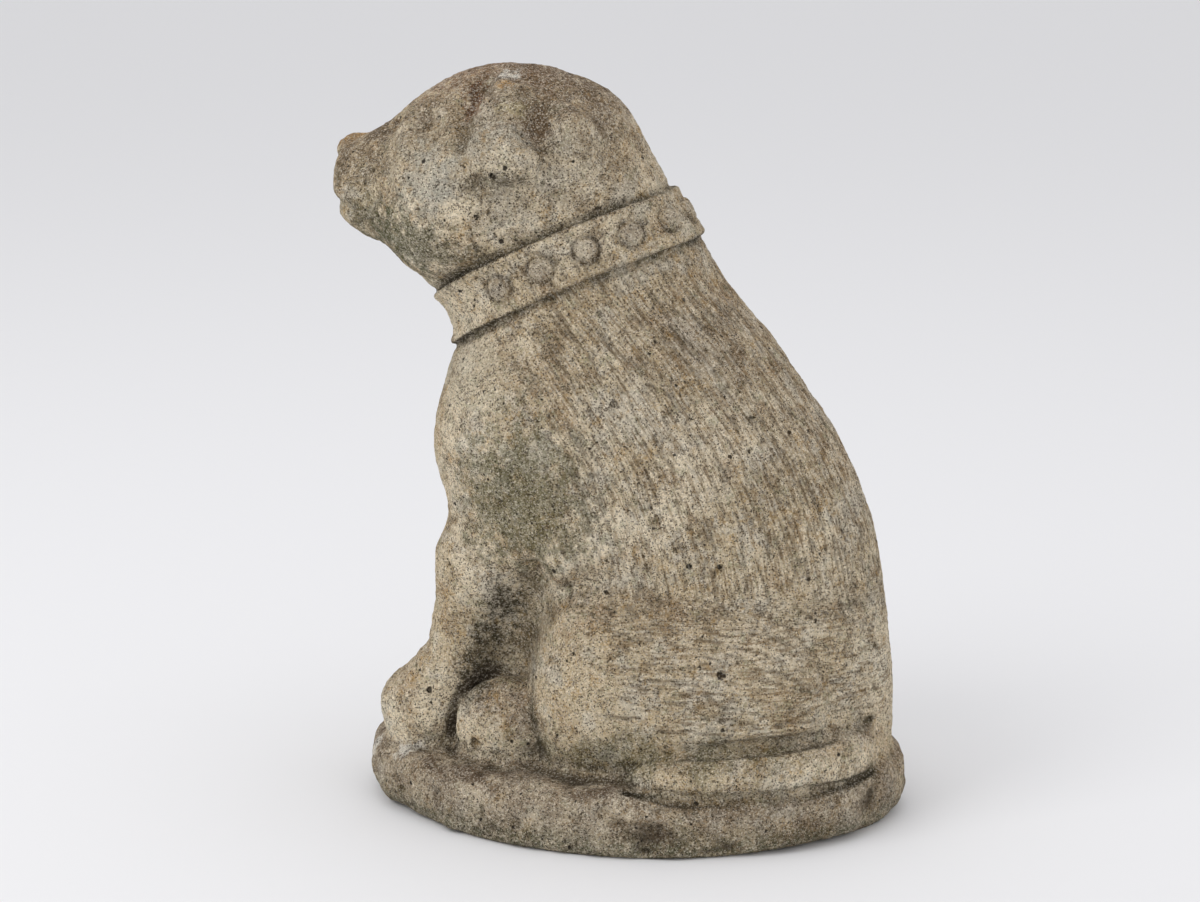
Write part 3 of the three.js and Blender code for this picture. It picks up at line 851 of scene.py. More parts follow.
class Board:
    """Adds nodes to one tree and wires them."""

    def __init__(self, tree: bpy.types.NodeTree) -> None:
        """Takes the tree that the nodes go into."""
        self.tree = tree

    def add(
        self, kind: str, feeds: dict[str | int, Feed] | None = None, **settings: object
    ) -> bpy.types.Node:
        """Adds one node.

        Args:
            kind: Blender's name for the node type.
            feeds: What goes into its inputs, a value or another node's output.
            **settings: The node's own properties.

        Returns:
            The new node.
        """
        node = self.tree.nodes.new(kind)
        for name, value in settings.items():
            setattr(node, name, value)
        for key, value in (feeds or {}).items():
            if isinstance(value, bpy.types.NodeSocket):
                self.tree.links.new(value, node.inputs[key])
            else:
                node.inputs[key].default_value = value
        return node

    def math(self, operation: str, a: Feed, b: Feed = 0.0, clamp: bool = False) -> bpy.types.NodeSocket:
        """One step of arithmetic on numbers."""
        return self.add("ShaderNodeMath", {0: a, 1: b}, operation=operation, use_clamp=clamp).outputs[0]

    def vector(self, operation: str, a: Feed, b: Feed = (0.0, 0.0, 0.0)) -> bpy.types.NodeSocket:
        """One step of arithmetic on vectors."""
        node = self.add("ShaderNodeVectorMath", {0: a, 1: b}, operation=operation)
        return node.outputs["Value" if operation in ("LENGTH", "DISTANCE", "DOT_PRODUCT") else "Vector"]

    def scaled(self, vector: Feed, factor: Feed) -> bpy.types.NodeSocket:
        """A vector made longer or shorter."""
        node = self.add("ShaderNodeVectorMath", {0: vector, "Scale": factor}, operation="SCALE")
        return node.outputs["Vector"]

    def ramp(
        self, value: Feed, low: Feed, high: Feed, start: Feed = 0.0, end: Feed = 1.0
    ) -> bpy.types.NodeSocket:
        """Maps a range onto another with a smooth start and end."""
        feeds = {0: value, 1: low, 2: high, 3: start, 4: end}
        return self.add("ShaderNodeMapRange", feeds, interpolation_type="SMOOTHSTEP").outputs[0]

    def noise(
        self, place: Feed, scale: Feed, detail: float = 2.0, roughness: float = 0.55
    ) -> bpy.types.NodeSocket:
        """Soft noise between about 0.2 and 0.8."""
        feeds = {"Vector": place, "Scale": scale, "Detail": detail, "Roughness": roughness}
        return self.add("ShaderNodeTexNoise", feeds).outputs[0]

    def mix(self, factor: Feed, a: Feed, b: Feed, way: str = "MIX") -> bpy.types.NodeSocket:
        """Mixes two colours."""
        node = self.add("ShaderNodeMix", {0: factor, 6: a, 7: b}, data_type="RGBA", blend_type=way)
        return node.outputs[2]

    def tint(self, colour: Feed, mask: Feed, share: float, tone_in: Feed) -> bpy.types.NodeSocket:
        """Mixes a tone into a colour where a mask shows, up to a share."""
        return self.mix(self.math("MULTIPLY", mask, share), colour, tone_in)

    def keep(self, geometry: Feed, name: str, value: Feed) -> bpy.types.NodeSocket:
        """Stores a number for each point of a geometry, under a name."""
        feeds = {"Geometry": geometry, "Name": name, "Value": value}
        return self.add("GeometryNodeStoreNamedAttribute", feeds, data_type="FLOAT").outputs[0]

    def attribute(self, name: str, kind: str = "FLOAT") -> bpy.types.NodeSocket:
        """Reads a value stored on the mesh, in a geometry tree."""
        return self.add("GeometryNodeInputNamedAttribute", {"Name": name}, data_type=kind).outputs[0]


def open_tree(
    name: str, kind: str, takes: dict[str, tuple[Kind, Feed | None]], gives: dict[str, Kind]
) -> Board:
    """Makes a tree with named inputs and outputs.

    Args:
        name: Name of the tree.
        kind: GeometryNodeTree or ShaderNodeTree.
        takes: The inputs, each with its kind and first value.
        gives: The outputs with their kinds.

    Returns:
        A board on the new tree.
    """
    tree = bpy.data.node_groups.new(name, kind)
    for label, (sort, value) in takes.items():
        socket = tree.interface.new_socket(name=label, in_out="INPUT", socket_type=sort.value)
        if value is not None:
            socket.default_value = value
    for label, sort in gives.items():
        tree.interface.new_socket(name=label, in_out="OUTPUT", socket_type=sort.value)
    return Board(tree)


GEOMETRY_OUT = {"Geometry": Kind.GEOMETRY}


@dataclass(frozen=True)
class Relief:
    """One pass of surface relief: a tree and the values that go into its named inputs."""

    name: str
    sizes: dict[str, float | int]

    def takes(self) -> dict[str, tuple[Kind, Feed | None]]:
        """The tree's inputs: the mesh, and one for each named size."""
        found: dict[str, tuple[Kind, Feed | None]] = {"Geometry": (Kind.GEOMETRY, None)}
        for label, value in self.sizes.items():
            found[label] = (Kind.COUNT if isinstance(value, int) else Kind.NUMBER, value)
        return found

    def wire(self, board: Board, source: bpy.types.Node) -> bpy.types.NodeSocket:
        """Adds the pass's own nodes and gives the finished geometry."""
        raise NotImplementedError

    def push(self, board: Board, geometry: Feed, height: Feed) -> bpy.types.NodeSocket:
        """Moves the surface along its normals, except on the flat underside."""
        free = board.math("MULTIPLY", height, board.attribute("relief_room"))
        normal = board.add("GeometryNodeInputNormal").outputs[0]
        feeds = {"Geometry": geometry, "Offset": board.scaled(normal, free)}
        return board.add("GeometryNodeSetPosition", feeds).outputs[0]

    def apply(self, piece: bpy.types.Object, material: bpy.types.Material, extra: dict[str, object]) -> None:
        """Puts the pass on a piece as a modifier and sets its inputs.

        Args:
            piece: The object that takes the modifier.
            material: The material that the tree sets at its end.
            extra: Values for inputs of other kinds, such as a guide object.
        """
        takes = self.takes()
        takes["Material"] = (Kind.MATERIAL, None)
        for label in extra:
            takes[label] = (Kind.OBJECT, None)
        board = open_tree(self.name, "GeometryNodeTree", takes, GEOMETRY_OUT)
        source = board.add("NodeGroupInput")
        shaped = self.wire(board, source)
        solid = board.add("GeometryNodeRealizeInstances", {"Geometry": shaped}).outputs[0]
        feeds = {"Geometry": solid, "Material": source.outputs["Material"]}
        done = board.add("GeometryNodeSetMaterial", feeds)
        board.add("NodeGroupOutput", {"Geometry": done.outputs[0]})
        modifier = piece.modifiers.new(self.name, "NODES")
        modifier.node_group = board.tree
        values = {**self.sizes, **extra, "Material": material}
        for item in board.tree.interface.items_tree:
            if item.in_out == "INPUT" and item.name in values:
                modifier[item.identifier] = values[item.name]


@dataclass(frozen=True)
class Studs(Relief):
    """Low domed studs raised at even steps along the collar."""

    def wire(self, board: Board, source: bpy.types.Node) -> bpy.types.NodeSocket:
        """Spaces points along the collar's guide and raises a dome round each."""
        guide = board.add("GeometryNodeObjectInfo", {"Object": source.outputs["Guide"]}).outputs["Geometry"]
        feeds = {"Curve": guide, "Count": source.outputs["Stud Count"]}
        points = board.add("GeometryNodeCurveToPoints", feeds, mode="COUNT").outputs["Points"]
        gap = board.add("GeometryNodeProximity", {0: points}, target_element="POINTS").outputs["Distance"]
        share = board.math("DIVIDE", gap, source.outputs["Stud Radius"])
        place = board.add("GeometryNodeInputPosition").outputs[0]
        wear = board.noise(place, source.outputs["Wear Scale"], 1.0)
        inside = board.math("SUBTRACT", 1.0, board.math("MULTIPLY", share, share), clamp=True)
        dome = board.ramp(board.math("SQRT", inside), 0.0, 0.92)
        seat = board.ramp(share, 1.02, 1.38, -0.35, 0.0)
        seat = board.math("MULTIPLY", seat, board.ramp(share, 0.9, 1.02))
        profile = board.math("ADD", dome, seat)
        worn = board.math("MULTIPLY", profile, board.ramp(wear, 0.36, 0.56, 0.6, 1.0))
        height = board.math("MULTIPLY", worn, source.outputs["Stud Height"])
        marked = board.keep(source.outputs["Geometry"], "stud", board.ramp(share, 0.95, 0.7))
        ring = board.math("MULTIPLY", board.ramp(share, 0.8, 1.04), board.ramp(share, 1.5, 1.12))
        marked = board.keep(marked, "stud_ring", ring)
        return self.push(board, marked, height)


@dataclass(frozen=True)
class Lumps(Relief):
    """Slow unevenness of the cast, stronger on the base, and a coarse sandy grain."""

    def wire(self, board: Board, source: bpy.types.Node) -> bpy.types.NodeSocket:
        """Adds slow waves and grain of named sizes."""
        place = board.add("GeometryNodeInputPosition").outputs[0]
        base = board.attribute("on_base")
        slow = board.math("SUBTRACT", board.noise(place, source.outputs["Lump Scale"], 2.0), 0.5)
        reach = board.ramp(base, 0.0, 1.0, source.outputs["Lump Height"], source.outputs["Base Lump Height"])
        middle = board.math("SUBTRACT", board.noise(place, source.outputs["Dent Scale"], 2.0), 0.5)
        fine = board.math("SUBTRACT", board.noise(place, source.outputs["Grain Scale"], 3.0, 0.65), 0.5)
        height = board.math("MULTIPLY", slow, reach)
        height = board.math("ADD", height, board.math("MULTIPLY", middle, source.outputs["Dent Height"]))
        height = board.math("ADD", height, board.math("MULTIPLY", fine, source.outputs["Grain Height"]))
        return self.push(board, source.outputs["Geometry"], height)


@dataclass(frozen=True)
class Pores(Relief):
    """Round blow holes of scattered sizes, sunk into the surface."""

    def wire(self, board: Board, source: bpy.types.Node) -> bpy.types.NodeSocket:
        """Scatters points with a radius each, and sinks a pit at every point."""
        feeds = {
            "Mesh": source.outputs["Geometry"],
            "Distance Min": source.outputs["Spacing"],
            "Density Max": source.outputs["Density"],
            "Seed": source.outputs["Seed"],
        }
        spread = board.add("GeometryNodeDistributePointsOnFaces", feeds, distribute_method="POISSON")
        feeds = {2: 0.0, 3: 1.0, "Seed": source.outputs["Seed"]}
        chance = board.add("FunctionNodeRandomValue", feeds).outputs[1]
        small, large = source.outputs["Least Radius"], source.outputs["Largest Radius"]
        span = board.math("SUBTRACT", large, small)
        growth = board.math("MULTIPLY", board.math("POWER", chance, 4.0), span)
        points = board.keep(spread.outputs[0], "pit_radius", board.math("ADD", small, growth))
        place = board.add("GeometryNodeInputPosition").outputs[0]
        nearest = board.add("GeometryNodeSampleNearest", {"Geometry": points}).outputs[0]
        feeds = {"Geometry": points, "Value": board.attribute("pit_radius"), "Index": nearest}
        reach = board.add("GeometryNodeSampleIndex", feeds, data_type="FLOAT").outputs[0]
        at = board.add("GeometryNodeSampleIndex", data_type="FLOAT_VECTOR")
        board.tree.links.new(points, at.inputs["Geometry"])
        board.tree.links.new(place, at.inputs["Value"])
        board.tree.links.new(nearest, at.inputs["Index"])
        share = board.math("DIVIDE", board.vector("DISTANCE", place, at.outputs[0]), reach)
        bowl = board.ramp(share, 1.15, 0.35)
        depth = board.math("MULTIPLY", board.math("MULTIPLY", bowl, reach), source.outputs["Depth Share"])
        return self.push(board, source.outputs["Geometry"], board.math("MULTIPLY", depth, -1.0))


@dataclass(frozen=True)
class CoatStrokes(Relief):
    """Strokes of the coat, cut into back, flanks and haunches along the lie of the hair."""

    def wire(self, board: Board, source: bpy.types.Node) -> bpy.types.NodeSocket:
        """Lays short lines along the flow, wraps them onto the surface and sinks grooves beside them."""
        mesh = source.outputs["Geometry"]
        place = board.add("GeometryNodeInputPosition").outputs[0]
        density = board.math("MULTIPLY", board.attribute("coat"), source.outputs["Density"])
        feeds = {"Mesh": mesh, "Density": density, "Seed": source.outputs["Seed"]}
        spread = board.add("GeometryNodeDistributePointsOnFaces", feeds, distribute_method="RANDOM")
        half = board.math("MULTIPLY", source.outputs["Stroke Length"], 0.5)
        start = board.add("ShaderNodeCombineXYZ", {0: board.math("MULTIPLY", half, -1.0)}).outputs[0]
        end = board.add("ShaderNodeCombineXYZ", {0: half}).outputs[0]
        line = board.add("GeometryNodeCurvePrimitiveLine", {"Start": start, "End": end}, mode="POINTS")
        feeds = {"Curve": line.outputs[0], "Count": 6}
        line = board.add("GeometryNodeResampleCurve", feeds, mode="COUNT").outputs[0]
        feeds = {0: (-0.1, -0.1, -0.1), 1: (0.1, 0.1, 0.1), "Seed": 3}
        stray = board.add("FunctionNodeRandomValue", feeds, data_type="FLOAT_VECTOR")
        lie = board.vector("ADD", board.attribute("flow", "FLOAT_VECTOR"), stray.outputs[0])
        turn = board.add("FunctionNodeAlignRotationToVector", {"Vector": lie}, axis="X").outputs[0]
        size = board.add("FunctionNodeRandomValue", {2: 0.45, 3: 1.3, "Seed": 5}).outputs[1]
        feeds = {"Points": spread.outputs[0], "Instance": line, "Rotation": turn, "Scale": size}
        strokes = board.add("GeometryNodeInstanceOnPoints", feeds).outputs[0]
        strokes = board.add("GeometryNodeRealizeInstances", {"Geometry": strokes}).outputs[0]
        skin = board.add("GeometryNodeProximity", {0: mesh}, target_element="FACES").outputs["Position"]
        strokes = board.add("GeometryNodeSetPosition", {"Geometry": strokes, "Position": skin}).outputs[0]
        strokes = board.add("GeometryNodeCurveToMesh", {"Curve": strokes}).outputs[0]
        gap = board.add("GeometryNodeProximity", {0: strokes}, target_element="EDGES").outputs["Distance"]
        broken = board.ramp(board.noise(place, source.outputs["Break Scale"], 1.0), 0.36, 0.52)
        groove = board.math("MULTIPLY", board.ramp(gap, source.outputs["Half Width"], 0.0), broken)
        sunk = board.math("MULTIPLY", groove, board.math("MULTIPLY", source.outputs["Depth"], -1.0))
        return self.push(board, board.keep(mesh, "stroke", groove), sunk)


# Finishes.


def tone(red: float, green_algae_and_shade: float, blue: float) -> Colour:
    """Turns a colour as a picture shows it, 0 to 255, into the shader's own scale."""
    linear = [((v / 255 + 0.055) / 1.055) ** 2.4 if v > 10 else v / 255 / 12.92 for v in (red, green_algae_and_shade, blue)]
    return linear[0], linear[1], linear[2], 1.0


class Fray(Enum):
    """How finely the edge of a stain is broken up: the scale of the noise that does it."""

    WIDE = 60.0
    EVEN = 120.0
    FINE = 230.0


@dataclass(frozen=True)
class Stain:
    """One place on the statue that has a tone of its own, in figure units."""

    centre: Place
    radii: Place
    colour: Colour
    strength: float
    fray: Fray = Fray.EVEN
    mirrored: bool = True


class Pattern(Enum):
    """Noises that vary the finish, broadest first: the scale, detail and roughness of each."""

    BROAD = (16.0, 3.0, 0.6)
    PATCHY = (38.0, 4.0, 0.78)
    RAGGED = (55.0, 4.0, 0.75)
    MIDDLE = (70.0, 4.0, 0.7)
    HUE = (100.0, 4.0, 0.82)
    SMALL = (260.0, 2.0, 0.65)
    GRITTY = (430.0, 3.0, 0.9)


@dataclass(frozen=True)
class Sand:
    """Sand of one size: its fineness, where dark and light grains begin, and how strongly they show."""

    scale: float
    dark_from: float
    light_from: float
    dark_strength: float
    light_strength: float


@dataclass(frozen=True)
class Pinholes:
    """Pinholes of one size: how closely they lie, the widest for their spacing, and how rare those are."""

    scale: float
    largest: float
    rarity: float


@dataclass(frozen=True)
class Surface:
    """What the finish reads at each point: its place, the values kept on the mesh, and shared noises."""

    place: bpy.types.NodeSocket
    mirrored: bpy.types.NodeSocket
    height: bpy.types.NodeSocket
    up: bpy.types.NodeSocket
    strands: bpy.types.NodeSocket
    kept: dict[str, bpy.types.NodeSocket]
    noises: dict[Pattern, bpy.types.NodeSocket]


@dataclass(frozen=True)
class WeatheredStone:
    """Sandy cast stone, weathered: lichen bloom, hollows darkened with dirt and painted shade, algae and
    painted shade low down, painted shade in the pits and streaks, ochre and brown stains.
    """

    pale: Colour = tone(236, 220, 190)
    sand: Colour = tone(210, 191, 157)
    drab: Colour = tone(132, 108, 76)
    olive: Colour = tone(146, 146, 112)
    clay: Colour = tone(170, 138, 98)
    grit_and_pit_shade: Colour = tone(58, 48, 36)
    bloom: Colour = tone(224, 216, 198)
    pit_shade: Colour = tone(38, 32, 25)
    soil_and_shade: Colour = tone(72, 61, 46)
    algae_and_shade: Colour = tone(92, 92, 68)
    ochre: Colour = tone(176, 138, 72)
    film: Colour = tone(116, 88, 60)
    dust: Colour = tone(102, 84, 66)
    crease_dirt_and_shade: Colour = tone(58, 54, 36)
    stud: Colour = tone(160, 154, 144)
    grain: Colour = tone(232, 222, 204)
    sands: tuple[Sand, ...] = (Sand(800.0, 0.88, 0.78, 0.6, 0.65), Sand(1350.0, 0.7, 0.62, 0.88, 0.9))
    pinholes: tuple[Pinholes, ...] = (
        Pinholes(82.0, 0.13, 1.6),
        Pinholes(204.0, 0.2, 2.2),
        Pinholes(415.0, 0.24, 2.4),
    )
    hole_wander: float = 0.0016
    hole_wander_scale: float = 600.0
    bump_depth: float = 0.0011
    stains: tuple[Stain, ...] = ()
    holes: tuple[tuple[float, ...], ...] = ()

    def patch_group(self) -> bpy.types.NodeTree:
        """A mask round one place, with an edge broken up by noise."""
        takes = {
            "Vector": (Kind.VECTOR, None),
            "Centre": (Kind.VECTOR, None),
            "Radii": (Kind.VECTOR, None),
            "Ragged": (Kind.NUMBER, 0.5),
            "Strength": (Kind.NUMBER, 1.0),
        }
        board = open_tree("stain_patch", "ShaderNodeTree", takes, {"Mask": Kind.NUMBER})
        source = board.add("NodeGroupInput").outputs
        offset = board.vector("SUBTRACT", source["Vector"], source["Centre"])
        reach = board.vector("LENGTH", board.vector("DIVIDE", offset, source["Radii"]))
        fray = board.math("MULTIPLY", board.math("SUBTRACT", source["Ragged"], 0.5), 3.0)
        edge = board.math("ADD", reach, fray)
        mask = board.math("MULTIPLY", board.ramp(edge, 1.25, 0.35), source["Strength"])
        board.add("NodeGroupOutput", {"Mask": mask})
        return board.tree

    def speckle_group(self) -> bpy.types.NodeTree:
        """Sand of one size: dark and light grains, more or fewer with the cover, and their height."""
        takes = {
            "Vector": (Kind.VECTOR, None),
            "Cover": (Kind.NUMBER, 0.5),
            "Grain Scale": (Kind.NUMBER, 900.0),
            "Dark From": (Kind.NUMBER, 0.8),
            "Light From": (Kind.NUMBER, 0.8),
        }
        gives = {"Dark": Kind.NUMBER, "Light": Kind.NUMBER, "Height": Kind.NUMBER}
        board = open_tree("sand_speckle", "ShaderNodeTree", takes, gives)
        source = board.add("NodeGroupInput").outputs
        feeds = {"Vector": source["Vector"], "Scale": source["Grain Scale"]}
        cells = board.add("ShaderNodeTexVoronoi", feeds)
        chance = board.add("ShaderNodeSeparateColor", {0: cells.outputs["Color"]}).outputs
        body = board.ramp(cells.outputs["Distance"], 0.66, 0.4)
        lean = board.math("MULTIPLY", board.math("SUBTRACT", source["Cover"], 0.5), 0.9)
        dark_side = board.math("ADD", chance[0], lean)
        light_side = board.math("SUBTRACT", chance[1], lean)
        softness = 0.06
        dark_full = board.math("ADD", source["Dark From"], softness)
        light_full = board.math("ADD", source["Light From"], softness)
        dark = board.math("MULTIPLY", board.ramp(dark_side, source["Dark From"], dark_full), body)
        light = board.math("MULTIPLY", board.ramp(light_side, source["Light From"], light_full), body)
        height = board.math("SUBTRACT", board.math("MULTIPLY", chance[2], body), dark)
        board.add("NodeGroupOutput", {"Dark": dark, "Light": light, "Height": height})
        return board.tree

    def pinhole_group(self) -> bpy.types.NodeTree:
        """Small round holes scattered at random, most of them too small to see, as a mask where the finish
        paints their shade.
        """
        takes = {
            "Vector": (Kind.VECTOR, None),
            "Spacing Scale": (Kind.NUMBER, 100.0),
            "Largest": (Kind.NUMBER, 0.2),
            "Rarity": (Kind.NUMBER, 2.0),
        }
        board = open_tree("pinholes", "ShaderNodeTree", takes, {"Mask": Kind.NUMBER})
        source = board.add("NodeGroupInput").outputs
        feeds = {"Vector": source["Vector"], "Scale": source["Spacing Scale"]}
        cells = board.add("ShaderNodeTexVoronoi", feeds)
        chance = board.add("ShaderNodeSeparateColor", {0: cells.outputs["Color"]}).outputs[0]
        reach = board.math("MULTIPLY", board.math("POWER", chance, source["Rarity"]), source["Largest"])
        inner = board.math("MULTIPLY", reach, 0.72)
        mask = board.ramp(cells.outputs["Distance"], board.math("ADD", reach, 0.001), inner)
        board.add("NodeGroupOutput", {"Mask": mask})
        return board.tree

    def read(self, board: Board) -> Surface:
        """Gathers what the finish depends on."""
        place = board.add("ShaderNodeTexCoord").outputs["Object"]
        split = board.add("ShaderNodeSeparateXYZ", {0: place}).outputs
        folded = board.add("ShaderNodeVectorMath", {0: place}, operation="ABSOLUTE").outputs["Vector"]
        across = board.add("ShaderNodeSeparateXYZ", {0: folded}).outputs[0]
        normal = board.add("ShaderNodeNewGeometry").outputs["Normal"]
        names = ("hollow", "sunk", "stroke", "coat", "on_base", "stud", "stud_ring", "crease_dirt_and_shade")
        kept = {name: board.add("ShaderNodeAttribute", attribute_name=name).outputs["Fac"] for name in names}
        return Surface(
            place=place,
            mirrored=board.add("ShaderNodeCombineXYZ", {0: across, 1: split[1], 2: split[2]}).outputs[0],
            height=split[2],
            up=board.add("ShaderNodeSeparateXYZ", {0: normal}).outputs[2],
            strands=board.add("ShaderNodeAttribute", attribute_name="strands").outputs["Vector"],
            kept=kept,
            noises={pattern: board.noise(place, *pattern.value) for pattern in Pattern},
        )

    def ground(self, board: Board, skin: Surface) -> Feed:
        """The bare stone with bloom, clay, ochre and olive patches, film on top, and dust on the base."""
        up, on_base = skin.up, skin.kept["on_base"]
        ragged, patchy, hue = (skin.noises[n] for n in (Pattern.RAGGED, Pattern.PATCHY, Pattern.HUE))
        colour = board.mix(board.ramp(skin.noises[Pattern.BROAD], 0.42, 0.6), self.sand, self.pale)
        colour = board.tint(colour, board.ramp(skin.noises[Pattern.MIDDLE], 0.5, 0.62), 0.5, self.drab)
        colour = board.tint(colour, board.ramp(patchy, 0.5, 0.62), 0.6, self.bloom)
        colour = board.tint(colour, board.ramp(patchy, 0.46, 0.34), 0.5, self.clay)
        film = board.math("MULTIPLY", board.ramp(up, -0.1, 0.75), board.ramp(ragged, 0.3, 0.58, 0.25, 0.75))
        colour = board.tint(colour, film, 0.6, self.film)
        colour = board.tint(colour, board.ramp(hue, 0.54, 0.66), 0.55, self.ochre)
        colour = board.tint(colour, board.ramp(hue, 0.46, 0.34), 0.5, self.olive)
        top_face = board.math("MULTIPLY", on_base, board.ramp(up, 0.3, 0.9))
        on_top = board.math("MULTIPLY", top_face, board.ramp(ragged, 0.36, 0.58, 0.45, 0.95))
        on_side = board.math("MULTIPLY", on_base, board.ramp(ragged, 0.36, 0.62, 0.35, 0.68))
        return board.mix(board.math("MAXIMUM", on_top, on_side), colour, self.dust)

    def stained(self, board: Board, skin: Surface, colour: Feed, scale: Scale) -> Feed:
        """Lays the stains over the ground, in their order."""
        patch = self.patch_group()
        frayed = {fray: board.noise(skin.place, fray.value, 3.0, 0.72) for fray in Fray}
        for stain in self.stains:
            feeds = {
                "Vector": skin.mirrored if stain.mirrored else skin.place,
                "Centre": scale.metres(stain.centre),
                "Radii": tuple(r * scale.unit * MILLIMETRE for r in stain.radii),
                "Ragged": frayed[stain.fray],
                "Strength": stain.strength,
            }
            mask = board.add("ShaderNodeGroup", feeds, node_tree=patch).outputs["Mask"]
            colour = board.mix(mask, colour, stain.colour)
        return colour

    def soiled(self, board: Board, skin: Surface, colour: Feed, occlusion_shade_and_dirt: Feed) -> Feed:
        """Painted shade with algae and soil in occluded hollows and low down, painted shade with dirt along
        the creases, and the studs in their rings of soil and painted shade.
        """
        middle = skin.noises[Pattern.MIDDLE]
        # Painted shade: greener and darker in occluded hollows and over the lowest two centimetres of the
        # base, part algae and soil.
        low = board.ramp(skin.height, 0.02, 0.004)
        hollow_and_foot_algae_shade = board.math("MAXIMUM", board.ramp(occlusion_shade_and_dirt, 0.28, 0.75, 0.0, 0.65), low)
        green_algae_and_shade = board.math("MULTIPLY", hollow_and_foot_algae_shade, board.ramp(skin.noises[Pattern.SMALL], 0.4, 0.6, 0.3, 0.85))
        colour = board.mix(green_algae_and_shade, colour, self.algae_and_shade)
        colour = board.tint(colour, board.ramp(occlusion_shade_and_dirt, 0.36, 0.82), 0.9, self.soil_and_shade)
        # Painted shade with dirt along the creases, the recess between foreleg and haunch, and the collar's
        # edges.
        crease_dirt_and_shade_mask = board.math("MULTIPLY", skin.kept["crease_dirt_and_shade"], board.ramp(middle, 0.36, 0.58, 0.45, 0.95))
        colour = board.mix(crease_dirt_and_shade_mask, colour, self.crease_dirt_and_shade)
        colour = board.tint(colour, skin.kept["stud"], 0.4, self.stud)
        # Soil and painted shade in the sunken ring round each stud's foot.
        stud_ring_soil_and_shade = board.math("MULTIPLY", skin.kept["stud_ring"], board.ramp(middle, 0.4, 0.58, 0.15, 0.8))
        return board.mix(stud_ring_soil_and_shade, colour, self.soil_and_shade)

    def light_grain(self, board: Board, colour: Feed) -> Feed:
        """The tone of a light grain against what lies round it."""
        return board.mix(0.45, board.scaled(colour, 1.35), self.grain)

    def sanded(self, board: Board, skin: Surface, colour: Feed, occlusion_shade_and_dirt: Feed) -> tuple[Feed, Feed]:
        """Roughens the stone with grit and with sand of each size.

        Args:
            board: The board of the material.
            skin: What the finish reads.
            colour: The colour so far.
            occlusion_shade_and_dirt: How occluded each point lies, which the finish paints as shade with
                dirt; more dark grains gather there.

        Returns:
            The colour, and the height of the coarser sand.
        """
        speckle = self.speckle_group()
        gritty = skin.noises[Pattern.GRITTY]
        cover = board.math("ADD", skin.noises[Pattern.MIDDLE], board.math("MULTIPLY", occlusion_shade_and_dirt, 0.3))
        cover = board.ramp(cover, 0.3, 0.8, 0.4, 0.68)
        colour = board.tint(colour, board.ramp(gritty, 0.47, 0.28), 0.95, self.grit_and_pit_shade)
        colour = board.tint(colour, board.ramp(gritty, 0.53, 0.7), 0.95, self.light_grain(board, colour))
        heights = []
        for sand in self.sands:
            feeds = {
                "Vector": skin.place,
                "Cover": cover,
                "Grain Scale": sand.scale,
                "Dark From": sand.dark_from,
                "Light From": sand.light_from,
            }
            grains = board.add("ShaderNodeGroup", feeds, node_tree=speckle).outputs
            colour = board.tint(colour, grains["Dark"], sand.dark_strength, self.grit_and_pit_shade)
            lighter = self.light_grain(board, colour)
            colour = board.tint(colour, grains["Light"], sand.light_strength, lighter)
            heights.append(grains["Height"])
        return colour, heights[0]

    def pitted(self, board: Board, skin: Surface, colour: Feed, scale: Scale) -> tuple[Feed, Feed]:
        """Paints shade into what lies sunken, the scattered pinholes and the largest blow holes.

        Args:
            board: The board of the material.
            skin: What the finish reads.
            colour: The colour so far.
            scale: The statue's scale, which places the blow holes.

        Returns:
            The colour, and a mask of the widest pinholes.
        """
        # Painted shade in the pores that the relief sank.
        colour = board.tint(colour, board.ramp(skin.kept["sunk"], 0.6, 1.9), 0.75, self.grit_and_pit_shade)
        pinhole = self.pinhole_group()
        feeds = {"Vector": skin.place, "Scale": self.hole_wander_scale, "Detail": 1.0}
        stray = board.add("ShaderNodeTexNoise", feeds).outputs["Color"]
        stray = board.scaled(board.vector("SUBTRACT", stray, (0.5, 0.5, 0.5)), self.hole_wander)
        warped = board.vector("ADD", skin.place, stray)
        holes = []
        for size in self.pinholes:
            feeds = {
                "Vector": warped,
                "Spacing Scale": size.scale,
                "Largest": size.largest,
                "Rarity": size.rarity,
            }
            holes.append(board.add("ShaderNodeGroup", feeds, node_tree=pinhole).outputs["Mask"])
        for x, y, z, radius in self.holes:
            gap = board.vector("DISTANCE", warped, scale.metres((x, y, z)))
            reach = radius * scale.unit * MILLIMETRE
            holes.append(board.ramp(gap, reach * 1.05, reach * 0.85))
        # Painted shade in the pinholes and the largest blow holes.
        pit_shade = holes[0]
        for hole in holes[1:]:
            pit_shade = board.math("MAXIMUM", pit_shade, hole)
        return board.tint(colour, pit_shade, 0.93, self.pit_shade), holes[0]

    def brushed(self, board: Board, skin: Surface, colour: Feed) -> tuple[Feed, Feed]:
        """Streaks the coat along the lie of the hair with painted shade and painted highlight, darkens the
        carved strokes with soil and painted shade, and gives the colour and the dark streaks.
        """
        along = board.noise(skin.strands, 1.0, 3.0, 0.6)
        # Painted shade in the dark streaks and painted highlight in the pale ones along the hair; soil and
        # painted shade in the carved strokes.
        streak_shade = board.math("MULTIPLY", board.ramp(along, 0.52, 0.62), skin.kept["coat"])
        gleam = board.math("MULTIPLY", board.ramp(along, 0.46, 0.37), skin.kept["coat"])
        colour = board.tint(colour, streak_shade, 0.5, self.drab)
        colour = board.tint(colour, gleam, 0.22, self.grain)
        return board.tint(colour, skin.kept["stroke"], 0.6, self.soil_and_shade), streak_shade

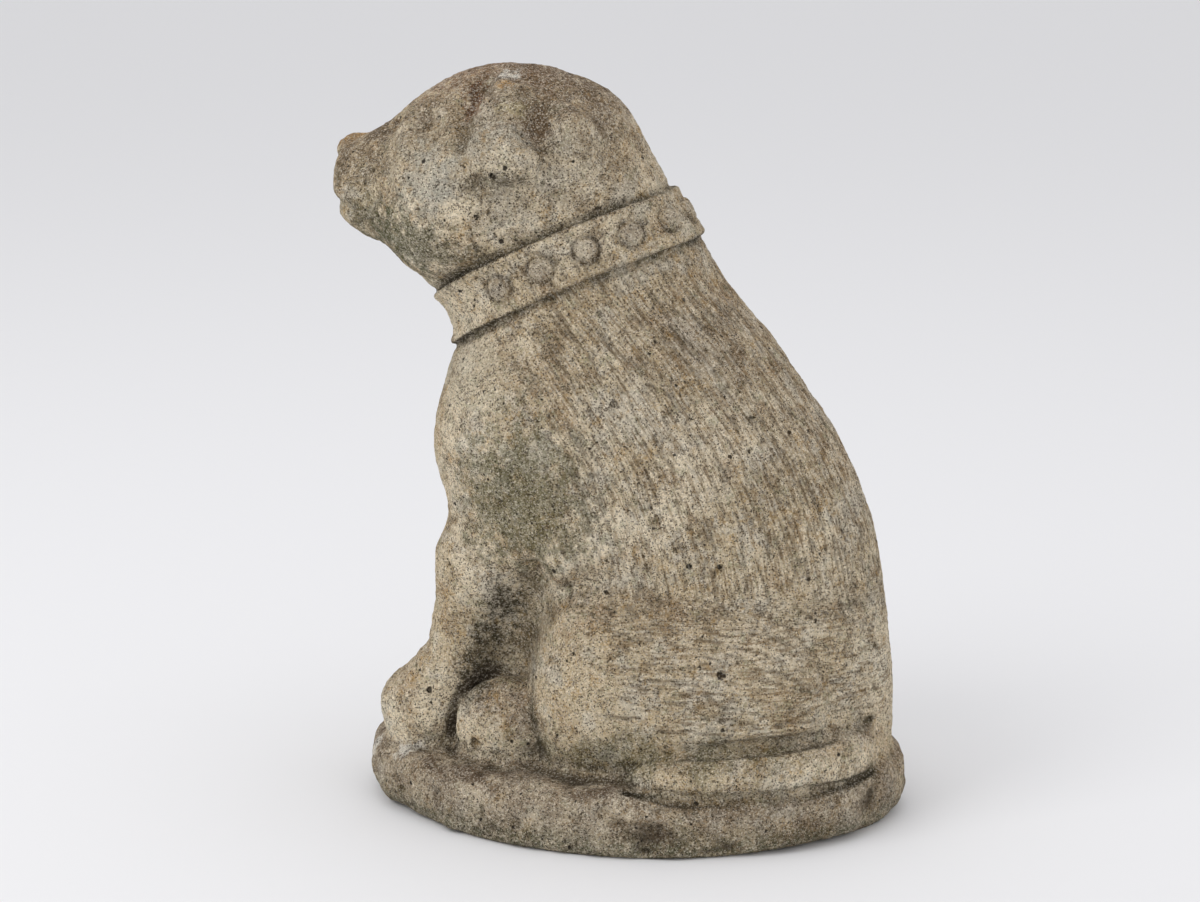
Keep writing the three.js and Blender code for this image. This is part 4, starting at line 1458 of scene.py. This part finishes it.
    def roughened(self, board: Board, skin: Surface, sand: Feed, streak_shade: Feed, pits: Feed) -> Feed:
        """The normals, with sand and grit raised, and streaks and pinholes sunk."""
        rise = board.math("MULTIPLY", sand, 0.9)
        rise = board.math("ADD", rise, board.math("MULTIPLY", skin.noises[Pattern.GRITTY], 2.2))
        rise = board.math("ADD", rise, board.math("MULTIPLY", skin.noises[Pattern.SMALL], 1.4))
        rise = board.math("SUBTRACT", rise, board.math("MULTIPLY", streak_shade, 0.4))
        rise = board.math("SUBTRACT", rise, board.math("MULTIPLY", pits, 1.6))
        feeds = {"Strength": 0.9, "Distance": self.bump_depth, "Height": rise}
        return board.add("ShaderNodeBump", feeds).outputs[0]

    def make(self, scale: Scale) -> bpy.types.Material:
        """Builds the finish.

        Args:
            scale: The statue's scale, which places the stains.

        Returns:
            The material.
        """
        material = bpy.data.materials.new("weathered_stone_finish")
        material.use_nodes = True
        material.node_tree.nodes.clear()
        board = Board(material.node_tree)
        skin = self.read(board)
        # Occlusion with noise, which the finish paints as shade with algae, soil and dark grains.
        stray = board.math("SUBTRACT", skin.noises[Pattern.RAGGED], 0.5)
        occlusion_shade_and_dirt = board.math("ADD", skin.kept["hollow"], board.math("MULTIPLY", stray, 0.9))
        colour = self.stained(board, skin, self.ground(board, skin), scale)
        colour = self.soiled(board, skin, colour, occlusion_shade_and_dirt)
        colour, sand = self.sanded(board, skin, colour, occlusion_shade_and_dirt)
        colour, pits = self.pitted(board, skin, colour, scale)
        colour, streak_shade = self.brushed(board, skin, colour)
        feeds = {
            "Base Color": colour,
            "Roughness": board.ramp(skin.noises[Pattern.MIDDLE], 0.3, 0.7, 0.86, 0.98),
            "Normal": self.roughened(board, skin, sand, streak_shade, pits),
            "Specular IOR Level": 0.22,
        }
        shader = board.add("ShaderNodeBsdfPrincipled", feeds)
        board.add("ShaderNodeOutputMaterial", {"Surface": shader.outputs[0]})
        log.info("finish: %d stains, %d sizes of sand", len(self.stains), len(self.sands))
        return material


# The piece.


@dataclass
class Statue:
    """The casting: modelled, given its relief by node trees, and dressed."""

    casting: Casting = field(default_factory=Casting)
    skinner: Skinner = field(default_factory=Skinner)
    most_triangles: int = 188000
    occlusion_steps: tuple[float, ...] = (3.0, 7.0, 15.0, 30.0)

    def stones(self) -> WeatheredStone:
        """The finish with this statue's stains, some of which paint shade into the hollows and grooves,
        under the jaw and the haunch, and light onto the shoulder.
        """
        ochre, rust, brown = tone(182, 136, 66), tone(122, 80, 50), tone(92, 70, 46)
        chalk, green_algae_and_shade, pale = tone(226, 220, 208), tone(92, 92, 60), tone(206, 194, 168)
        grey, moss_and_shade, taupe = tone(194, 194, 182), tone(62, 56, 36), tone(128, 114, 92)
        umber_groove_shade, straw = tone(54, 38, 26), tone(190, 176, 138)
        lichen, earth = tone(118, 110, 88), tone(112, 88, 66)
        return WeatheredStone(
            holes=self.casting.holes,
            stains=(
                Stain((0, -41.5, 88.8), (5.5, 5.5, 2.6), ochre, 0.85),
                Stain((5.0, -36.0, 89.0), (4.5, 4.5, 3.5), brown, 0.75),
                Stain((0, -22.0, 99.0), (14.0, 16.0, 7.0), rust, 0.65),
                Stain((3.0, -14.0, 97.0), (13.0, 12.0, 6.0), brown, 0.65),
                # Brown on the muzzle's front: part stain, part painted shade.
                Stain((4.0, -40.0, 85.0), (9.0, 6.0, 6.0), brown, 0.6),
                # Green under the chin: part algae, part painted shade.
                Stain((6.0, -36.0, 78.0), (12.0, 9.0, 5.0), green_algae_and_shade, 0.5),
                Stain((12.0, -20.0, 86.0), (9.0, 24.0, 15.0), taupe, 0.5, fray=Fray.WIDE),
                # Dark brown in the hollow behind the ear flap: part stain, part painted shade.
                Stain((13.4, -12.2, 91.8), (3.4, 3.2, 4.6), brown, 0.9, fray=Fray.FINE),
                # Rust and umber down the ear's groove: painted shade with some rust.
                Stain((11.4, -21.4, 95.6), (4.2, 1.8, 3.4), rust, 0.95, fray=Fray.FINE),
                Stain((11.0, -21.8, 96.0), (2.6, 1.0, 2.8), umber_groove_shade, 0.85, fray=Fray.FINE),
                Stain((9.6, -17.4, 97.0), (1.6, 1.5, 1.2), ochre, 0.7, fray=Fray.FINE),
                Stain((14.2, -15.2, 94.1), (2.2, 2.4, 1.4), straw, 0.6, fray=Fray.FINE),
                Stain((16.4, -16.2, 89.6), (3.2, 4.2, 2.8), grey, 0.4, fray=Fray.FINE),
                Stain((16.4, -26.5, 84.0), (5.0, 4.4, 5.4), grey, 0.5),
                # Moss under the ear flap's lower edge: part moss, part painted shade.
                Stain((18.8, -15.4, 84.8), (2.4, 3.6, 1.3), moss_and_shade, 0.75, fray=Fray.FINE),
                # Moss, green and lichen under the jaw: part growth, part painted shade.
                Stain((11.4, -35.5, 76.3), (8.0, 7.0, 3.6), moss_and_shade, 0.35),
                Stain((14.0, -30.0, 75.5), (7.0, 9.0, 5.0), green_algae_and_shade, 0.85),
                Stain((17.0, -26.0, 74.0), (5.0, 7.0, 3.6), lichen, 0.5),
                # Moss down the recess between foreleg and haunch: part moss, part painted shade.
                Stain((17.0, -12.4, 26.0), (5.0, 2.6, 4.4), moss_and_shade, 0.5, fray=Fray.FINE),
                Stain((16.6, -15.5, 22.0), (5.0, 3.2, 4.4), moss_and_shade, 0.95, fray=Fray.FINE),
                Stain((16.0, -18.4, 17.0), (5.0, 3.4, 4.4), moss_and_shade, 1.0, fray=Fray.FINE),
                Stain((15.4, -21.0, 12.0), (5.0, 3.6, 4.4), moss_and_shade, 0.95, fray=Fray.FINE),
                Stain((11.8, -29.0, 92.6), (3.0, 3.0, 2.2), brown, 0.6),
                Stain((0, -5.0, 92.0), (14.0, 5.0, 7.0), brown, 0.5, fray=Fray.WIDE),
                # Green below the shoulder: part algae, part painted shade.
                Stain((19.0, -12.0, 40.0), (7.0, 11.0, 13.0), green_algae_and_shade, 0.75),
                # Green under the chin: part algae, part painted shade.
                Stain((4.0, -33.0, 73.0), (12.0, 9.0, 5.0), green_algae_and_shade, 0.6),
                # Green low on the haunch above the base: part algae, part painted shade.
                Stain((20.0, 8.0, 4.0), (9.0, 20.0, 4.0), green_algae_and_shade, 0.6, fray=Fray.WIDE),
                # Pale patch on the shoulder's bulge: painted light.
                Stain((15.0, -20.0, 55.0), (7.0, 8.0, 6.0), pale, 0.55, fray=Fray.WIDE),
                Stain((15.0, 14.0, 62.0), (9.0, 12.0, 8.0), brown, 0.4, fray=Fray.WIDE),
                Stain((16.0, -12.0, 7.0), (5.0, 7.0, 6.0), earth, 0.6, fray=Fray.FINE),
                Stain((6.8, -17.4, 99.4), (2.6, 2.0, 1.8), chalk, 1.0, mirrored=False, fray=Fray.FINE),
                Stain((10.3, -37.5, -1.5), (1.7, 1.5, 1.7), chalk, 0.9, mirrored=False, fray=Fray.FINE),
                Stain((15.6, -31.7, -0.2), (1.8, 2.0, 1.5), chalk, 0.9, mirrored=False, fray=Fray.FINE),
                Stain((14.6, -29.6, 0.3), (1.0, 1.0, 1.0), chalk, 0.9, mirrored=False, fray=Fray.FINE),
            ),
        )

    def flow(self, p: Points) -> tuple[Points, Values, Points]:
        """The lie of the hair.

        Args:
            p: Points in figure units, as three rows.

        Returns:
            Directions, how strongly the coat shows, and places in the coat's own measure.
        """
        trunk = self.casting.trunk
        lean = (trunk.column(1, p[2] + 3.0) - trunk.column(1, p[2] - 3.0)) / 6.0
        haunch = ease(p[2], 27.0, 22.0) * ease(p[1], -16.0, -10.0)
        back = lean * (1.0 - haunch) - haunch
        along = np.stack([np.zeros_like(lean), back, (1.0 - haunch) + 0.12 * haunch])
        along /= np.linalg.norm(along, axis=0)
        body = ease(p[2], 5.0, 9.0) * ease(p[2], 78.0, 68.0) * ease(p[1] + 0.35 * (p[2] - 40.0), -14.0, 2.0)
        depth = trunk.column(1, p[2]) - p[1]
        fine, long_way = 2.6, 0.3
        on_flank = np.stack([depth * fine + np.abs(p[0]) * 0.25, p[2] * long_way, p[0] * 0.45])
        on_haunch = np.stack([p[2] * fine, p[1] * long_way, p[0] * 0.45 + 40.0])
        return along, body, on_flank * (1.0 - haunch) + on_haunch * haunch

    def guide(self) -> bpy.types.Object:
        """The line along the collar's middle that carries the studs, found on the surface."""
        collar, scale = self.casting.collar, self.casting.scale
        dy, dz = collar.nape[0] - collar.throat[0], collar.nape[1] - collar.throat[1]
        length = math.hypot(dy, dz)
        dy, dz = dy / length, dz / length
        middle_y = (collar.nape[0] + collar.throat[0]) / 2.0
        middle_z = (collar.nape[1] + collar.throat[1]) / 2.0
        turns = np.radians(np.arange(-180.0, 180.0, 0.5, dtype=np.float32))
        out = np.full_like(turns, 24.0)
        side, ahead = np.sin(turns), np.cos(turns)
        for _ in range(60):
            x = out * side
            rise = collar.rise(x)
            y = middle_y + out * ahead * dy - rise * dz
            z = middle_z + out * ahead * dz + rise * dy
            spots = np.stack([x, y, z]) * scale.unit
            spots[2] += scale.base_thickness
            out = out - self.casting.distance(spots) / scale.unit * 0.6
        steps = np.linalg.norm(np.diff(spots, axis=1), axis=0)
        run = np.concatenate([[0.0], np.cumsum(steps)])
        run -= np.interp(0.0, turns, run)
        reach = collar.stud_pitch * (collar.stud_count - 1) / 2.0
        marks = np.linspace(-reach, reach, 240)
        line = np.stack([np.interp(marks, run, row) for row in spots], axis=1) * MILLIMETRE
        curve = bpy.data.curves.new("collar_guide", "CURVE")
        curve.dimensions = "3D"
        spline = curve.splines.new("POLY")
        spline.points.add(len(line) - 1)
        spline.points.foreach_set("co", np.column_stack([line, np.ones(len(line))]).ravel())
        guide = bpy.data.objects.new("collar_guide", curve)
        bpy.context.scene.collection.objects.link(guide)
        return guide

    def rough_mesh(self) -> bpy.types.Mesh:
        """The casting's form in even faces, drawn onto the true surface, with what the relief trees read."""
        points, quads = self.skinner.skin(self.casting.distance)
        normals = self.casting.slope(points)
        for _ in range(2):
            points = points - normals * self.casting.distance(points)
        points[2] = np.where(points[2] < 0.4, 0.0, points[2])
        mesh = bpy.data.meshes.new("statue_form")
        mesh.vertices.add(points.shape[1])
        mesh.vertices.foreach_set("co", (points.T * MILLIMETRE).ravel())
        mesh.loops.add(quads.size)
        mesh.loops.foreach_set("vertex_index", quads.ravel().astype(np.int32))
        mesh.polygons.add(len(quads))
        mesh.polygons.foreach_set("loop_start", np.arange(0, quads.size, 4, dtype=np.int32))
        mesh.update(calc_edges=True)
        mesh.validate()
        p = self.casting.scale.figure_points(points)
        along, coat, _ = self.flow(p)
        figure = self.casting.figure(p)
        off_tail = ease(self.casting.tail.distance(p, self.casting.scale), 0.4, 1.4)
        on_base = off_tail * ease(figure, 0.2, 1.0) * ease(p[2], 2.0, 0.5)
        self.keep(mesh, "relief_room", ease(points[2], 0.5, 3.5))
        self.keep(mesh, "on_base", on_base)
        self.keep(mesh, "coat", coat * ease(on_base, 0.5, 0.0))
        flow = mesh.attributes.new("flow", "FLOAT_VECTOR", "POINT")
        flow.data.foreach_set("vector", along.T.astype(np.float32).ravel())
        return mesh

    def keep(self, mesh: bpy.types.Mesh, name: str, values: Values) -> None:
        """Stores one number for each vertex."""
        layer = mesh.attributes.get(name) or mesh.attributes.new(name, "FLOAT", "POINT")
        layer.data.foreach_set("value", values.astype(np.float32))

    def reliefs(self) -> tuple[tuple[Relief, bool], ...]:
        """The relief passes in order, each with whether it needs the collar's guide."""
        collar = self.casting.collar
        return (
            (
                Studs(
                    "collar_studs",
                    {
                        "Stud Count": collar.stud_count,
                        "Stud Radius": collar.stud_diameter / 2.0 * MILLIMETRE,
                        "Stud Height": collar.stud_height * MILLIMETRE,
                        "Wear Scale": 60.0,
                    },
                ),
                True,
            ),
            (
                Lumps(
                    "cast_unevenness",
                    {
                        "Lump Scale": 42.0,
                        "Lump Height": 0.0022,
                        "Base Lump Height": 0.008,
                        "Dent Scale": 110.0,
                        "Dent Height": 0.0016,
                        "Grain Scale": 300.0,
                        "Grain Height": 0.0016,
                    },
                ),
                False,
            ),
            (
                CoatStrokes(
                    "coat_strokes",
                    {
                        "Density": 17000.0,
                        "Stroke Length": 0.02,
                        "Half Width": 0.0009,
                        "Depth": 0.0006,
                        "Break Scale": 130.0,
                        "Seed": 11,
                    },
                ),
                False,
            ),
            (
                Pores(
                    "blow_holes",
                    {
                        "Spacing": 0.009,
                        "Density": 5200.0,
                        "Least Radius": 0.0004,
                        "Largest Radius": 0.002,
                        "Depth Share": 1.05,
                        "Seed": 4,
                    },
                ),
                False,
            ),
        )

    def shape(self) -> bpy.types.Mesh:
        """Runs the relief passes and brings the mesh down to its share of faces."""
        piece = bpy.data.objects.new("statue_form", self.rough_mesh())
        bpy.context.scene.collection.objects.link(piece)
        log.info("form: %d faces", len(piece.data.polygons))
        guide = self.guide()
        finish = self.stones().make(self.casting.scale)
        for relief, guided in self.reliefs():
            relief.apply(piece, finish, {"Guide": guide} if guided else {})
        mesh = self.evaluate(piece, "statue_relief")
        piece.modifiers.clear()
        piece.data = mesh
        thin = piece.modifiers.new("even_out", "DECIMATE")
        thin.ratio = min(1.0, self.most_triangles / (2.0 * len(mesh.polygons)))
        thin.use_collapse_triangulate = True
        final = self.evaluate(piece, "statue")
        bpy.data.objects.remove(piece)
        bpy.data.objects.remove(guide)
        return final

    def evaluate(self, piece: bpy.types.Object, name: str) -> bpy.types.Mesh:
        """Turns a piece with its modifiers into a plain mesh."""
        graph = bpy.context.evaluated_depsgraph_get()
        mesh = bpy.data.meshes.new_from_object(piece.evaluated_get(graph), depsgraph=graph)
        mesh.name = name
        return mesh

    def note_surface(self, mesh: bpy.types.Mesh) -> None:
        """Stores how occluded and how sunken each vertex lies, for the finish to read and paint as shade."""
        count = len(mesh.vertices)
        places = np.empty(count * 3, np.float32)
        mesh.vertices.foreach_get("co", places)
        points = places.reshape(-1, 3).T / MILLIMETRE
        depth = self.casting.distance(points)
        normals = self.casting.slope(points)
        hollow = np.zeros(count, np.float32)
        for step in self.occlusion_steps:
            free = self.casting.distance(points + normals * step)
            hollow += np.clip(1.0 - free / step, 0.0, 1.0)
        # More occlusion towards the floor, which the finish paints as shade.
        floor_gap = points[2] / 40.0
        hollow = hollow / len(self.occlusion_steps) + 0.12 * np.clip(1.0 - floor_gap, 0.0, 1.0)
        self.keep(mesh, "hollow", hollow)
        self.keep(mesh, "sunk", np.clip(-depth, 0.0, 4.0))
        p = self.casting.scale.figure_points(points)
        self.keep(mesh, "crease_dirt_and_shade", self.casting.crease_dirt_and_shade_near(p))
        _, _, strands = self.flow(p)
        layer = mesh.attributes.new("strands", "FLOAT_VECTOR", "POINT")
        layer.data.foreach_set("vector", strands.T.astype(np.float32).ravel())

    def build(self) -> bpy.types.Object:
        """Makes the finished piece and ties it to the frame."""
        mesh = self.shape()
        self.note_surface(mesh)
        mesh.shade_smooth()
        piece = bpy.data.objects.new("statue", mesh)
        bpy.context.scene.collection.objects.link(piece)
        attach(piece, "root")
        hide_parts(NODE)
        log.info("statue: %d vertices, %d triangles", len(mesh.vertices), len(mesh.polygons))
        return piece


@dataclass(frozen=True)
class Studio:
    """A plain pale floor, soft lights and the camera, in metres."""

    floor_size: float = 40.0
    floor_tone: Colour = tone(235, 235, 237)
    sky_tone: Colour = tone(233, 233, 234)
    sky_strength: float = 1.0
    target: Place = (0.0, -0.021, 0.191)
    azimuth: float = 103.0
    elevation: float = 12.0
    distance: float = 1.53
    lens: float = 85.0

    def floor(self) -> bpy.types.Object:
        """The floor, which isn't part of the object."""
        half = self.floor_size / 2.0
        mesh = bpy.data.meshes.new("floor")
        corners = [(-half, -half, 0), (half, -half, 0), (half, half, 0), (-half, half, 0)]
        mesh.from_pydata(corners, [], [(0, 1, 2, 3)])
        plate = bpy.data.objects.new("floor", mesh)
        bpy.context.scene.collection.objects.link(plate)
        material = bpy.data.materials.new("pale_floor")
        material.use_nodes = True
        shader = material.node_tree.nodes["Principled BSDF"]
        shader.inputs["Base Color"].default_value = self.floor_tone
        shader.inputs["Roughness"].default_value = 0.9
        shader.inputs["Specular IOR Level"].default_value = 0.1
        mesh.materials.append(material)
        return plate

    def sky(self) -> None:
        """Even pale light from all round."""
        world = bpy.data.worlds.new("studio")
        world.use_nodes = True
        shade = world.node_tree.nodes["Background"]
        shade.inputs["Color"].default_value = self.sky_tone
        shade.inputs["Strength"].default_value = self.sky_strength
        bpy.context.scene.world = world

    def lamp(self, name: str, place: Place, size: float, power: float) -> bpy.types.Object:
        """One soft light, turned to the statue.

        Args:
            name: Name of the lamp.
            place: Where it stands.
            size: Side of its square face.
            power: Its strength in watts.

        Returns:
            The lamp.
        """
        data = bpy.data.lights.new(name, "AREA")
        data.size = size
        data.energy = power
        lamp = bpy.data.objects.new(name, data)
        lamp.location = place
        lamp.rotation_euler = (Vector(self.target) - Vector(place)).to_track_quat("-Z", "Y").to_euler()
        bpy.context.scene.collection.objects.link(lamp)
        return lamp

    def camera(self) -> bpy.types.Object:
        """The camera, at the angle from which the statue is known."""
        a, e = math.radians(self.azimuth), math.radians(self.elevation)
        back = Vector((math.sin(a) * math.cos(e), -math.cos(a) * math.cos(e), math.sin(e)))
        data = bpy.data.cameras.new("camera")
        data.lens = self.lens
        data.sensor_width = 36.0
        camera = bpy.data.objects.new("camera", data)
        camera.location = Vector(self.target) + back * self.distance
        camera.rotation_euler = (-back).to_track_quat("-Z", "Y").to_euler()
        bpy.context.scene.collection.objects.link(camera)
        bpy.context.scene.camera = camera
        return camera

    def build(self) -> None:
        """Sets up floor, sky, lamps and camera."""
        self.floor()
        self.sky()
        self.lamp("key", (1.5, -1.4, 2.2), 1.4, 19.0)
        self.lamp("top", (0.3, 0.2, 2.6), 2.0, 8.0)
        self.camera()
        bpy.context.scene.view_settings.view_transform = "Standard"
        log.info("studio: floor, sky, two lamps and camera")


def main() -> None:
    """Builds the statue and its studio."""
    logging.basicConfig(level=logging.INFO, format="%(name)s: %(message)s")
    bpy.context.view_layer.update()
    Studio().build()
    Statue().build()


if __name__ == "__main__":
    main()
